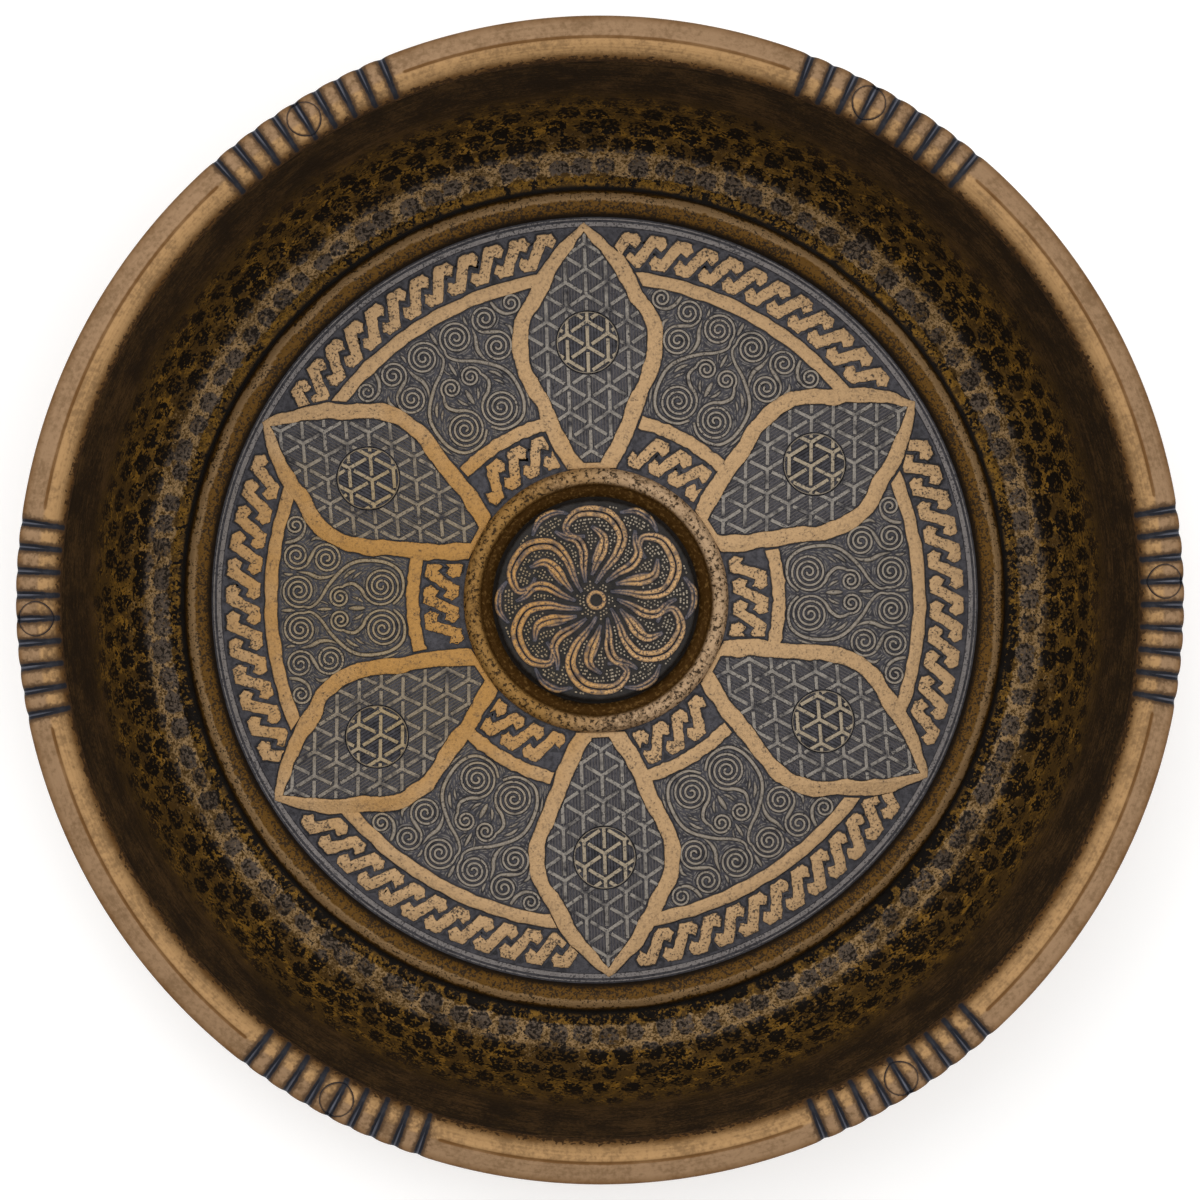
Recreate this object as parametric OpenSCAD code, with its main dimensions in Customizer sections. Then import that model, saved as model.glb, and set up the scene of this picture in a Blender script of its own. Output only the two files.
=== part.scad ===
/*
Hammam bowl: a shallow washing bowl of patinated brass.
A raised sheet bowl carries a riveted rim hoop, an embossed floor plate held by six flush rivets,
a half-round ring over the plate's edge, and a low domed medallion in a collar.
Millimetres, +Z up. The origin is on the table, under the middle of the bowl.
*/

/* [Bowl sheet] */
// Outer diameter over the rim hoop
rim_d = 200; // [190:1:220]
// Height from the table to the crest of the rim
bowl_h = 50; // [46:0.5:60]
// Thickness of the raised sheet
sheet_t = 1.2; // [0.9:0.1:1.4]
// Lean of the upper wall from upright, in degrees
wall_lean = 11; // [9:0.5:13]
// Slope of the wall where it runs into the corner, in degrees
heel_slope = 38; // [34:1:42]
// Inside radius of the corner between wall and floor
heel_r = 4; // [3:0.5:5]
// Distance that the wall spreads from the edge of the flat floor to the mouth
wall_spread = 16.4; // [15.5:0.1:19]
// Radius of the bend under the rim, on its outer side
lip_bend_r = 0.6; // [0.4:0.1:0.9]

/* [Foot and finger hold] */
// Distance of the pressed foot from the edge of the flat floor, at the middle of its sole
foot_inset = 10.2; // [8:0.1:13]
// Width of the flat sole
foot_sole_w = 4; // [3.5:0.1:5]
// Height of the base above the table, inside the foot
foot_h = 1.5; // [1.3:0.1:2.5]
// Steepness of the foot's sides, in degrees
foot_side = 60; // [50:1:70]
// Height of the finger hold above the floor
hold_h = 1.8; // [1.2:0.1:2.2]

/* [Rim hoop] */
// Width of the hoop, seen from above
hoop_w = 7.4; // [7:0.1:8.4]
// Height of the hoop above the flange that it sits on
hoop_h = 5.3; // [4.8:0.1:6.5]
// Radius of the round inner shoulder
hoop_shoulder_r = 3.5; // [3:0.1:3.8]
// Fall of the outer bevel
hoop_bevel = 1.2; // [0.8:0.1:1.6]
// Radius of the outer edge
hoop_edge_r = 0.6; // [0.3:0.1:0.9]
// Thickness of the skirt that hides the flange's edge
hoop_skirt_t = 1.3; // [1:0.1:1.5]
// Chamfer under the hoop's inner edge
hoop_chamfer = 1; // [0.6:0.1:1.4]
// Number of notches in a group
notch_count = 9; // [5:2:11]
// Angle from one notch to the next
notch_pitch = 2.38; // [2.2:0.02:2.5]
// Radius of a notch
notch_r = 0.8; // [0.6:0.05:0.9]
// Depth of a notch's axis below the crest
notch_sink = 0.35; // [0.1:0.05:0.5]
// Fall of a notch towards the outer edge, in degrees
notch_fall = 18; // [10:1:22]
// Radius of the chased line along the crest
line_r = 0.3; // [0.2:0.05:0.4]
// Angle left plain between a chased line and the nearest notch
line_gap = 1.6; // [1:0.1:3]

/* [Rim rivets] */
// Diameter of the flush head
rim_head_d = 6; // [5:0.1:6.2]
// Depth of the head's seat below the crest
rim_head_h = 3.1; // [2.9:0.1:3.4]
// Diameter of the shank
rim_shank_d = 2.6; // [2:0.1:3]
// Diameter of the peened tail
rim_tail_d = 3.8; // [3.2:0.1:4]
// Height of the peened tail
rim_tail_h = 0.9; // [0.6:0.1:1.2]

/* [Floor plate] */
// Thickness of the plate
plate_t = 1.5; // [1.2:0.1:2]
// Height of the embossed bands
relief_h = 0.5; // [0.3:0.05:0.7]
// Width of the plain border inside the ring
border_w = 1.7; // [1:0.1:2]
// Gap between raised bands that stand side by side
band_gap = 0.6; // [0.4:0.05:0.8]
// Width of the petals' bands
petal_band_w = 2.9; // [2.2:0.1:3.2]
// Half the width of a petal
petal_half_w = 14; // [12.8:0.1:14.4]
// Distance of a petal's widest place beyond its rivet
petal_wide_past = 0.3; // [0:0.1:1.5]
// Width of the curved bars between the petals
bar_w = 2.4; // [2:0.1:2.8]
// Height of the outer fret, across its band
outer_fret_h = 6.6; // [6:0.1:7]
// Height of the inner fret, across its band
inner_fret_h = 6.8; // [6:0.1:7]
// Distance from one stroke of the outer fret to the next
outer_fret_pitch = 4.8; // [4.6:0.1:5.2]
// Distance from one stroke of the inner fret to the next
inner_fret_pitch = 4.4; // [4.2:0.1:4.8]

/* [Plate rivets] */
// Place of the rivets, as a share of the way from the collar to the ring
stud_place = 0.5; // [0.48:0.01:0.53]
// Diameter of the flush head
stud_d = 11.7; // [10:0.1:12.5]
// Diameter of the shank
stud_shank_d = 3.6; // [3:0.1:4.5]
// Diameter of the peened tail
stud_tail_d = 6; // [5:0.1:7]
// Height of the peened tail
stud_tail_h = 0.9; // [0.6:0.1:1.1]

/* [Floor ring] */
// Width of the half-round ring
ring_w = 5.1; // [4.4:0.1:5.6]

/* [Boss] */
// Outer diameter of the collar
collar_d = 49; // [47.5:0.1:50]
// Width of the collar's rounded lip
collar_lip_w = 3.3; // [2.8:0.1:3.6]
// Height of the straight part below the lip
collar_lip_h = 0.5; // [0.3:0.1:0.9]
// Thickness of the collar's spigot in the plate
collar_spigot_t = 2; // [1.4:0.1:2.4]
// Width of the gutter between the collar and the medallion
gutter_w = 1.5; // [1.2:0.1:2.2]
// Height of the medallion's crown above the floor
medallion_h = 3.5; // [3.2:0.1:4.2]
// Fall of the medallion's dome from its crown to its shoulder
medallion_fall = 1; // [0.6:0.1:1.3]
// Radius of the medallion's shoulder
medallion_shoulder_r = 2.3; // [1.8:0.1:2.4]
// Width of the medallion's foot, on the floor round the finger hold
medallion_foot_w = 3.7; // [3:0.1:5]

/* [Fits] */
// Clearance round shanks and heads
rivet_fit = 0.05; // [0.03:0.01:0.1]
// Clearance where pieces are let into each other
seat_fit = 0.2; // [0.1:0.05:0.3]

/* [Hidden] */
$fn = 96;

// The ornament repeats six times: petals on the 30 degree axes, rim rivets between them
folds = 6;
fold_angle = 360 / folds;
first_petal = 90;
// A filed group is centred on its rivet, apart from the first two, which are one notch off
notch_shift = [-1, -1, 0, 0, 0, 0];
// Length added to a cutter so that it runs clear of the faces it cuts
over = 1;
// Points nearer than this are one point
same_point = 0.001;
// Number of straight pieces along small bends, along long arcs, and along the petals' curves
bend_steps = 6;
arc_steps = 14;
curve_steps = 8;

// Heights
floor_z = foot_h + sheet_t;
plate_top = floor_z + plate_t;
flange_top = bowl_h - hoop_h;
flange_under = flange_top - sheet_t;

// Radii of the rim, from the outside in
rim_r = rim_d / 2;
flange_r = rim_r - hoop_skirt_t;
mouth_r = rim_r - hoop_w;
crest_r = mouth_r + hoop_shoulder_r;

// The wall: a bend under the rim, a straight lean, a long arc, and the corner to the floor
wall_slope = 90 - wall_lean;
bend_top_r = lip_bend_r + sheet_t;
bend_c = [mouth_r + bend_top_r * sin(wall_slope), flange_top - bend_top_r];
wall_top = bend_c + bend_top_r * [-sin(wall_slope), cos(wall_slope)];
floor_r = mouth_r - wall_spread;
heel_c = [floor_r, floor_z + heel_r];
heel_top = heel_c + heel_r * [sin(heel_slope), -cos(heel_slope)];
// The straight and the arc share the run and the rise between the bend and the corner
wall_run = wall_top.x - heel_top.x;
wall_rise = wall_top.y - heel_top.y;
arc_run = sin(wall_slope) - sin(heel_slope);
arc_rise = cos(heel_slope) - cos(wall_slope);
wall_arc_r = (sin(wall_slope) * wall_run - cos(wall_slope) * wall_rise)
           / (sin(wall_slope) * arc_run - cos(wall_slope) * arc_rise);
wall_c = heel_top + wall_arc_r * [-sin(heel_slope), cos(heel_slope)];

// Medallion in the collar's bore: a shallow dome that runs into a round shoulder
collar_r = collar_d / 2;
collar_bore_r = collar_r - collar_lip_w;
well_r = collar_bore_r - collar_spigot_t;
medallion_r = well_r - gutter_w;
shoulder_r = min(medallion_shoulder_r, medallion_h - medallion_fall);
shoulder_c = [medallion_r - shoulder_r, floor_z + medallion_h - medallion_fall - shoulder_r];
shoulder_drop = medallion_fall + shoulder_r;
dome_r = (shoulder_c.x * shoulder_c.x + shoulder_drop * shoulder_drop - shoulder_r * shoulder_r)
       / (2 * medallion_fall);
dome_c = [0, floor_z + medallion_h - dome_r];
dome_angle = atan2(shoulder_c.x, shoulder_c.y - dome_c.y);

// Foot and finger hold
foot_r = floor_r - foot_inset;
foot_run = foot_h / tan(foot_side);
hold_r = medallion_r - medallion_foot_w;
hold_sphere_r = (hold_r * hold_r + hold_h * hold_h) / (2 * hold_h);
hold_c = [0, floor_z + hold_h - hold_sphere_r];

// Rivets of the rim stand in the middle of the flange's flat
rim_rivet_r = (bend_c.x + flange_r) / 2;

// Radii of the floor plate, from the ring inwards and from the collar outwards
plate_r = floor_r - seat_fit;
ring_in_r = plate_r - ring_w;
stud_circle_r = collar_r + stud_place * (ring_in_r - collar_r);
border_out_r = ring_in_r - seat_fit;
outer_fret_r = border_out_r - border_w - band_gap - outer_fret_h / 2;
outer_bar_r = outer_fret_r - outer_fret_h / 2 - band_gap - bar_w / 2;
pattern_in_r = collar_r + seat_fit;
inner_fret_r = pattern_in_r + band_gap + inner_fret_h / 2;
inner_bar_r = inner_fret_r + inner_fret_h / 2 + band_gap + bar_w / 2;

// Petal outline: an ogee from the border to the widest place, and another from there to the collar
petal_tip_r = border_out_r - border_w / 2;
petal_wide_r = stud_circle_r + petal_wide_past;
petal_base_r = collar_r - seat_fit;
// Places where the flanks turn, as shares of the half width and of the length on that side
upper_flank = [0.72, 0.46];
lower_flank = [0.71, 0.52];
// Half width at the base, as a share of the greatest half width
base_width = 0.32;
// Sideways lean of the outline for each length along the petal, from the tip to the base
tip_lean = 1.35;
upper_lean = 0.37;
lower_lean = 0.35;
base_lean = 0.65;
// Reach of the curves, as a share of the petal's length on that side
curve_reach = 0.17;
// A change of width shows less at the pointed tip and at the base than at the sides
tip_share = 0.62;
base_share = 0.4;

// One stroke of the fret, in pitches along the band and half heights across it.
// The other half of the stroke is this half turned by 180 degrees.
fret_half = [[-0.236, 1], [0.457, -0.31], [0.693, -0.233], [0.866, -0.6], [0.669, -0.98]];
// The outer strokes stand a quarter pitch off the middle between two petals.
outer_fret_shift = -0.25;
outer_fret_places = [for (i = [-5 : 6]) i + outer_fret_shift];
inner_fret_places = [-2 : 1];

// Points of an arc from one angle to another, both ends included
function arc(c, r, from, to, steps) =
    [for (i = [0 : steps]) let (a = from + (to - from) * i / steps) c + r * [cos(a), sin(a)]];

// Points of a cubic curve, both ends included
function curve(p, q, r, s, steps) =
    [for (i = [0 : steps]) let (t = i / steps, u = 1 - t)
        u * u * u * p + 3 * u * u * t * q + 3 * u * t * t * r + t * t * t * s];

function reverse(list) = [for (i = [len(list) - 1 : -1 : 0]) list[i]];

// The same list without points that repeat the one before
function distinct(list) =
    [for (i = [0 : len(list) - 1]) if (i == 0 || norm(list[i] - list[i - 1]) > same_point) list[i]];

// One side of the bowl's sheet in section, from the flange to the axis, at a depth below the inner face
function sheet_side(depth) =
    let (
        sole = foot_sole_w / 2 - (sheet_t - depth) * tan(foot_side / 2),
        base_z = floor_z - depth,
        sole_z = sheet_t - depth,
        hold_r_here = hold_sphere_r - depth,
        hold_from = asin((base_z - hold_c.y) / hold_r_here)
    )
    distinct(concat(
        [[flange_r - seat_fit, flange_top - depth]],
        arc(bend_c, bend_top_r - depth, 90, 90 + wall_slope, bend_steps),
        arc(wall_c, wall_arc_r + depth, wall_slope - 90, heel_slope - 90, arc_steps),
        arc(heel_c, heel_r + depth, heel_slope - 90, -90, bend_steps),
        [
            [foot_r + sole + foot_run, base_z],
            [foot_r + sole, sole_z],
            [foot_r - sole, sole_z],
            [foot_r - sole - foot_run, base_z]
        ],
        arc(hold_c, hold_r_here, hold_from, 90, arc_steps)
    ));

// Half of a petal's outline from tip to base as [half width, distance from the middle], grown or shrunk
function petal_side(grow) =
    let (
        tip = [0, petal_tip_r + tip_share * grow],
        wide = [petal_half_w + grow, petal_wide_r],
        base = [base_width * petal_half_w + grow, petal_base_r - base_share * grow],
        tip_len = tip.y - wide.y,
        base_len = wide.y - base.y,
        upper = [upper_flank.x * petal_half_w + grow, wide.y + upper_flank.y * tip_len],
        lower = [lower_flank.x * petal_half_w + grow, wide.y - lower_flank.y * base_len],
        outward = curve_reach * tip_len,
        inward = curve_reach * base_len
    )
    distinct(concat(
        curve(
            tip,
            tip + [tip_lean * outward + tip_share * grow, -outward],
            upper + outward * [-upper_lean, 1],
            upper,
            curve_steps
        ),
        curve(upper, upper + outward * [upper_lean, -1], wide + [0, outward], wide, curve_steps),
        curve(wide, wide - [0, inward], lower + inward * [lower_lean, 1], lower, curve_steps),
        curve(lower, lower - inward * [lower_lean, 1], base + inward * [base_lean, 1], base, curve_steps)
    ));

// The closed outline of a petal that points along +Y
function petal_outline(grow) =
    let (side = petal_side(grow))
    concat(side, [for (i = [len(side) - 1 : -1 : 1]) [-side[i].x, side[i].y]]);

// The closed outline of one fret stroke, bent round the bowl at its place
function fret_outline(r, height, pitch, angle) =
    let (
        stroke = concat(fret_half, -1 * fret_half),
        pitch_angle = pitch / r * 180 / PI
    )
    [for (p = stroke)
        let (a = angle + p.x * pitch_angle, d = r + p.y * height / 2) d * [cos(a), sin(a)]];

// Repeats its children at the six places of the ornament, the first at the given angle from +Y
module six_times(start = 0) {
    for (k = [0 : folds - 1])
        rotate(start + k * fold_angle) children();
}

// A round bar along Z between two heights
module pin(d, from, to) {
    translate([0, 0, from]) cylinder(d = d, h = to - from);
}

// Section of the hoop: a rebate for the flange, an outer bevel and a round inner shoulder
module hoop_section() {
    shoulder_c = [crest_r, bowl_h - hoop_shoulder_r];
    edge_c = [rim_r - hoop_edge_r, bowl_h - hoop_bevel - hoop_edge_r];
    polygon(concat(
        [
            [flange_r, flange_top],
            [flange_r, flange_under],
            [rim_r, flange_under]
        ],
        arc(edge_c, hoop_edge_r, 0, 90, bend_steps),
        arc(shoulder_c, hoop_shoulder_r, 90, 180, arc_steps),
        [
            [mouth_r, flange_top + hoop_chamfer],
            [mouth_r + hoop_chamfer, flange_top]
        ]
    ));
}

// The filed notches of one group, about its rivet on +X
module notches(shift) {
    middle = (notch_count - 1) / 2 - shift;
    for (i = [0 : notch_count - 1])
        rotate((i - middle) * notch_pitch)
            translate([crest_r, 0, bowl_h - notch_sink])
                rotate([0, 90 + notch_fall, 0])
                    cylinder(r = notch_r, h = 2 * hoop_w, center = true);
}

// The chased line along the crest from one group's last notch to the next group's first
module chased_line(k) {
    reach = (notch_count - 1) / 2 * notch_pitch + line_gap;
    from = k * fold_angle + reach + notch_shift[k] * notch_pitch;
    to = (k + 1) * fold_angle - reach + notch_shift[(k + 1) % folds] * notch_pitch;
    rotate(from)
        rotate_extrude(angle = to - from)
            translate([crest_r, bowl_h])
                circle(r = line_r);
}

// Raised sheet bowl, drilled for the rivets
module bowl_shell() {
    color([0.32, 0.23, 0.12])
        difference() {
            rotate_extrude()
                polygon(concat(sheet_side(0), reverse(sheet_side(sheet_t))));
            six_times()
                translate([rim_rivet_r, 0, 0])
                    pin(rim_shank_d + 2 * rivet_fit, flange_under - over, flange_top + over);
            six_times(first_petal)
                translate([stud_circle_r, 0, 0])
                    pin(stud_shank_d + 2 * rivet_fit, 0, plate_top);
        }
}

// Brass hoop on the flange, filed, chased and counterbored for its rivets
module rim_hoop() {
    color([0.66, 0.5, 0.34])
        difference() {
            rotate_extrude() hoop_section();
            for (k = [0 : folds - 1]) {
                rotate(k * fold_angle) {
                    notches(notch_shift[k]);
                    translate([rim_rivet_r, 0, 0]) {
                        pin(rim_shank_d + 2 * rivet_fit, flange_top - over, bowl_h);
                        pin(rim_head_d + 2 * rivet_fit, bowl_h - rim_head_h, bowl_h + over);
                    }
                }
                chased_line(k);
            }
        }
}

// Rivet of the rim: a head finished flush with the hoop, a shank, and a tail peened under the flange
module rim_rivet(k) {
    color([0.62, 0.48, 0.3])
        rotate(k * fold_angle)
            union() {
                difference() {
                    intersection() {
                        rotate_extrude() hoop_section();
                        translate([rim_rivet_r, 0, 0])
                            pin(rim_head_d, bowl_h - rim_head_h, bowl_h + over);
                    }
                    notches(notch_shift[k]);
                }
                translate([rim_rivet_r, 0, 0])
                    pin(rim_shank_d, flange_under, bowl_h - rim_head_h);
                translate([rim_rivet_r, 0, flange_under - rim_tail_h])
                    cylinder(d1 = rim_shank_d, d2 = rim_tail_d, h = rim_tail_h);
            }
}

// Petal outline, filled, at its place
module petal(grow) {
    polygon(petal_outline(grow));
}

// A ring between two radii
module band(r, w) {
    difference() {
        circle(r = r + w / 2);
        circle(r = r - w / 2);
    }
}

// The strokes of both frets, kept clear of the petals
module frets() {
    difference() {
        for (k = [0 : folds - 1]) {
            middle = first_petal + (k + 0.5) * fold_angle;
            for (i = outer_fret_places)
                polygon(fret_outline(outer_fret_r, outer_fret_h, outer_fret_pitch,
                    middle + i * outer_fret_pitch / outer_fret_r * 180 / PI));
            for (i = inner_fret_places)
                polygon(fret_outline(inner_fret_r, inner_fret_h, inner_fret_pitch,
                    middle + i * inner_fret_pitch / inner_fret_r * 180 / PI));
        }
        six_times(first_petal - 90) petal(band_gap);
    }
}

// Everything raised on the plate: border, petal bands, bars between them, and frets
module raised_pattern() {
    difference() {
        union() {
            difference() {
                union() {
                    band(outer_bar_r, bar_w);
                    band(inner_bar_r, bar_w);
                    six_times(first_petal - 90) petal(0);
                }
                six_times(first_petal - 90) petal(-petal_band_w);
            }
            band(border_out_r - border_w / 2, border_w);
            frets();
        }
        circle(r = pattern_in_r);
    }
}

// Embossed plate on the floor, bored for the collar and the six rivet heads
module floor_plate() {
    color([0.36, 0.35, 0.37])
        difference() {
            union() {
                translate([0, 0, floor_z]) cylinder(r = plate_r, h = plate_t);
                translate([0, 0, plate_top - plate_t / 2])
                    linear_extrude(plate_t / 2 + relief_h) raised_pattern();
            }
            translate([0, 0, floor_z - over])
                cylinder(r = collar_bore_r + seat_fit, h = plate_t + 2 * over);
            six_times(first_petal)
                translate([stud_circle_r, 0, 0])
                    pin(stud_d + 2 * rivet_fit, floor_z - over, plate_top + over);
        }
}

// Rivet of the plate: a flush head, a shank through the base, and a tail peened under it
module plate_rivet(k) {
    color([0.55, 0.42, 0.26])
        rotate(first_petal + k * fold_angle)
            translate([stud_circle_r, 0, 0])
                union() {
                    pin(stud_d, floor_z, plate_top);
                    pin(stud_shank_d, foot_h, floor_z);
                    translate([0, 0, foot_h - stud_tail_h])
                        cylinder(d1 = stud_shank_d, d2 = stud_tail_d, h = stud_tail_h);
                }
}

// Half-round ring laid over the plate's edge
module floor_ring() {
    color([0.5, 0.36, 0.16])
        rotate_extrude()
            translate([plate_r - ring_w / 2, plate_top])
                intersection() {
                    circle(d = ring_w);
                    translate([-ring_w / 2, 0]) square([ring_w, ring_w]);
                }
}

// Collar round the boss: a rounded lip on the plate, and a spigot with a sloped bore
module boss_collar() {
    lip_z = plate_top + collar_lip_h;
    color([0.58, 0.45, 0.3])
        rotate_extrude()
            polygon(concat(
                [
                    [well_r, floor_z],
                    [collar_bore_r, floor_z],
                    [collar_bore_r, plate_top],
                    [collar_r, plate_top]
                ],
                arc([collar_r - collar_lip_w / 2, lip_z], collar_lip_w / 2, 0, 180, arc_steps)
            ));
}

// Domed medallion, hollowed to sit over the finger hold
module boss_medallion() {
    hollow_r = hold_sphere_r + rivet_fit;
    hollow_from = asin((floor_z - hold_c.y) / hollow_r);
    color([0.5, 0.42, 0.34])
        rotate_extrude()
            polygon(distinct(concat(
                arc(dome_c, dome_r, 90, 90 - dome_angle, arc_steps),
                arc(shoulder_c, shoulder_r, 90 - dome_angle, 0, bend_steps),
                [[medallion_r, floor_z]],
                arc(hold_c, hollow_r, hollow_from, 90, arc_steps)
            )));
}

bowl_shell();
rim_hoop();
for (k = [0 : folds - 1])
    rim_rivet(k);
floor_plate();
for (k = [0 : folds - 1])
    plate_rivet(k);
floor_ring();
boss_collar();
boss_medallion();
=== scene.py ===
"""Looks of a hammered brass hammam bowl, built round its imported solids."""

import logging
import math
from collections.abc import Sequence
from dataclasses import dataclass
from enum import Enum

import bpy
import numpy as np
from mathutils import Matrix, Vector
from mathutils.kdtree import KDTree


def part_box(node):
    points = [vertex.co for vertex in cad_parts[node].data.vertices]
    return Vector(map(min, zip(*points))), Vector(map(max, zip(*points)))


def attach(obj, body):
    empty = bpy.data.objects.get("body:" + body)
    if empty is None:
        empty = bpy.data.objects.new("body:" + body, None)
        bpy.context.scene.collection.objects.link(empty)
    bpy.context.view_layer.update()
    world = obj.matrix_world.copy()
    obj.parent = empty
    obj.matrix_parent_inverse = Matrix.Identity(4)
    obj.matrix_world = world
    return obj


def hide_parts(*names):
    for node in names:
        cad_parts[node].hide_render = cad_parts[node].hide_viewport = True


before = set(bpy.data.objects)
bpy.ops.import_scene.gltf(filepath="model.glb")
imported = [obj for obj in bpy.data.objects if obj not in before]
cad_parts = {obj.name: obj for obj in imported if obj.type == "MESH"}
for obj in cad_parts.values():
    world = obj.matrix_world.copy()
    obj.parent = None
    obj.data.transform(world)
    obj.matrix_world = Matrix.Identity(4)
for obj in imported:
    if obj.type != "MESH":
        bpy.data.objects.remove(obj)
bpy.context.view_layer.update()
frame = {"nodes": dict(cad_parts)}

MM = 0.001
FOLDS = 6
FOLD = math.tau / FOLDS
FIRST_PETAL = math.pi / 2
ROOT = "root"
SAME_POINT = 1e-6
THIN_EDGE = 0.01 * MM
WAVE_COUNTS = (7, 11, 16, 23)
WAVE_SHARE = 0.7
JITTER_SHARE = 0.35

Point = tuple[float, float]
Place = tuple[float, float, float]
Patch = tuple[float, int]
Colour = tuple[int, int, int]
Array = np.ndarray
Line = tuple[Array, Array]
Piece = bpy.types.Object
Material = bpy.types.Material
Socket = bpy.types.NodeSocket

log = logging.getLogger("hammam_bowl")


class Slot(Enum):
    """The record's material slots."""

    HAMMERED = "hammered_brass"
    RIM = "rim_brass"
    PLATE = "plate_patina"
    RIVET = "rivet_brass"
    RING = "ring_brass"
    COLLAR = "collar_brass"
    MEDALLION = "medallion_patina"


class Field(Enum):
    """Parts of a petal that are ruled with fine lines."""

    HEAD = "head"
    GROUND = "ground"


class Kept(Enum):
    """What a cut leaves of a piece, seen from the cutter."""

    OUTSIDE = "DIFFERENCE"
    INSIDE = "INTERSECT"


class Turn(Enum):
    """The way a volute winds inwards, seen from above."""

    LEFT = 1
    RIGHT = -1


@dataclass(frozen=True)
class BowlFrame:
    """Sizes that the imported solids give, and those that several pieces share, in metres."""

    rim_r: float
    rim_top: float
    flange_r: float
    flange_top: float
    flange_under: float
    rivet_circle_r: float
    rivet_r: float
    rivet_foot: float
    floor_z: float
    plate_r: float
    plate_top: float
    relief_top: float
    stud_circle_r: float
    stud_r: float
    stud_foot: float
    ring_r: float
    collar_r: float
    collar_top: float
    medallion_r: float
    medallion_top: float
    hoop_w: float = 7.4 * MM
    collar_lip_w: float = 3.3 * MM
    hold_h: float = 1.8 * MM
    seat_fit: float = 0.2 * MM

    @property
    def mouth_r(self) -> float:
        """Returns the radius of the mouth inside the hoop."""
        return self.rim_r - self.hoop_w

    @classmethod
    def read(cls) -> "BowlFrame":
        """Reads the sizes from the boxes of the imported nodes.

        Returns:
            The sizes of the frame.
        """
        hoop_low, hoop_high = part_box("rim_hoop")
        shell_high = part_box("bowl_shell")[1]
        rivet_low, rivet_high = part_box("rim_rivet_1")
        plate_low, plate_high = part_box("floor_plate")
        stud_low, stud_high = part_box("plate_rivet_1")
        ring_low, ring_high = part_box("floor_ring")
        collar_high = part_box("boss_collar")[1]
        medallion_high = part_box("boss_medallion")[1]
        return cls(
            rim_r=min(hoop_high.x, hoop_high.y),
            rim_top=hoop_high.z,
            flange_r=shell_high.x,
            flange_top=shell_high.z,
            flange_under=hoop_low.z,
            rivet_circle_r=(rivet_low.x + rivet_high.x) / 2,
            rivet_r=(rivet_high.y - rivet_low.y) / 2,
            rivet_foot=rivet_low.z,
            floor_z=plate_low.z,
            plate_r=plate_high.x,
            plate_top=stud_high.z,
            relief_top=plate_high.z,
            stud_circle_r=(stud_low.y + stud_high.y) / 2,
            stud_r=(stud_high.x - stud_low.x) / 2,
            stud_foot=stud_low.z,
            ring_r=ring_high.z - ring_low.z,
            collar_r=collar_high.x,
            collar_top=collar_high.z,
            medallion_r=medallion_high.x,
            medallion_top=medallion_high.z,
        )


# Lines and outlines


def arc(centre: Point, radius: float, start: float, end: float, steps: int) -> list[Point]:
    """Returns the points of an arc between two angles in degrees, both ends included."""
    angles = np.radians(np.linspace(start, end, steps + 1))
    return [(centre[0] + radius * math.cos(a), centre[1] + radius * math.sin(a)) for a in angles]


def straight(start: Point, end: Point, steps: int) -> list[Point]:
    """Returns evenly spaced points between two points, both ends left out."""
    shares = np.linspace(0, 1, steps + 1)[1:-1]
    return [(start[0] + (end[0] - start[0]) * t, start[1] + (end[1] - start[1]) * t) for t in shares]


def cubic(knots: Sequence[Point], steps: int) -> Array:
    """Makes the points of a cubic curve with four control points, both ends included.

    Args:
        knots: The four control points.
        steps: Number of straight pieces.

    Returns:
        An array of points.
    """
    p, q, r, s = (np.array(knot) for knot in knots)
    t = np.linspace(0, 1, steps + 1)[:, None]
    u = 1 - t
    return u**3 * p + 3 * u * u * t * q + 3 * u * t * t * r + t**3 * s


def through(points: Sequence[Point], spacing: float) -> Array:
    """Draws a smooth line through points.

    Args:
        points: Points that the line passes.
        spacing: Distance between the points of the result.

    Returns:
        An array of points along the line.
    """
    knots = np.array([points[0], *points, points[-1]], float)
    spans = []
    for a, b, c, d in zip(knots, knots[1:], knots[2:], knots[3:]):
        steps = max(2, int(np.linalg.norm(c - b) / spacing))
        t = np.linspace(0, 1, steps, endpoint=False)[:, None]
        spans.append(b + t / 2 * ((c - a) + t * ((2 * a - 5 * b + 4 * c - d) + t * (3 * (b - c) + d - a))))
    return np.vstack([*spans, knots[-1:]])


def turned(points: Array, angle: float) -> Array:
    """Turns flat points to the left round the middle of the bowl, by an angle in radians."""
    turn = np.array([[math.cos(angle), math.sin(angle)], [-math.sin(angle), math.cos(angle)]])
    return points @ turn


def hand_drawn(outline: Array, amount: float, draw: np.random.Generator) -> Array:
    """Makes a closed outline a little uneven, as a punch leaves it.

    Args:
        outline: Points of the closed outline.
        amount: Usual size of the unevenness.
        draw: Source of random numbers.

    Returns:
        The uneven outline.
    """
    steps = np.linalg.norm(np.roll(outline, -1, axis=0) - outline, axis=1)
    way = np.cumsum(steps) / steps.sum() * math.tau
    wave = np.zeros(outline.shape)
    for turns in WAVE_COUNTS:
        for axis in range(2):
            wave[:, axis] += WAVE_SHARE * amount * np.sin(turns * way + draw.uniform(0, math.tau))
    return outline + wave + draw.normal(0, JITTER_SHARE * amount, outline.shape)


def rising(values: Array, low: float, high: float) -> Array:
    """Goes smoothly from 0 at the low value to 1 at the high one."""
    t = np.clip((values - low) / (high - low), 0, 1)
    return t * t * (3 - 2 * t)


def polar(points: Array) -> tuple[Array, Array]:
    """Returns the distances of points from the bowl's axis and their angles round it."""
    return np.hypot(points[:, 0], points[:, 1]), np.arctan2(points[:, 1], points[:, 0])


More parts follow.
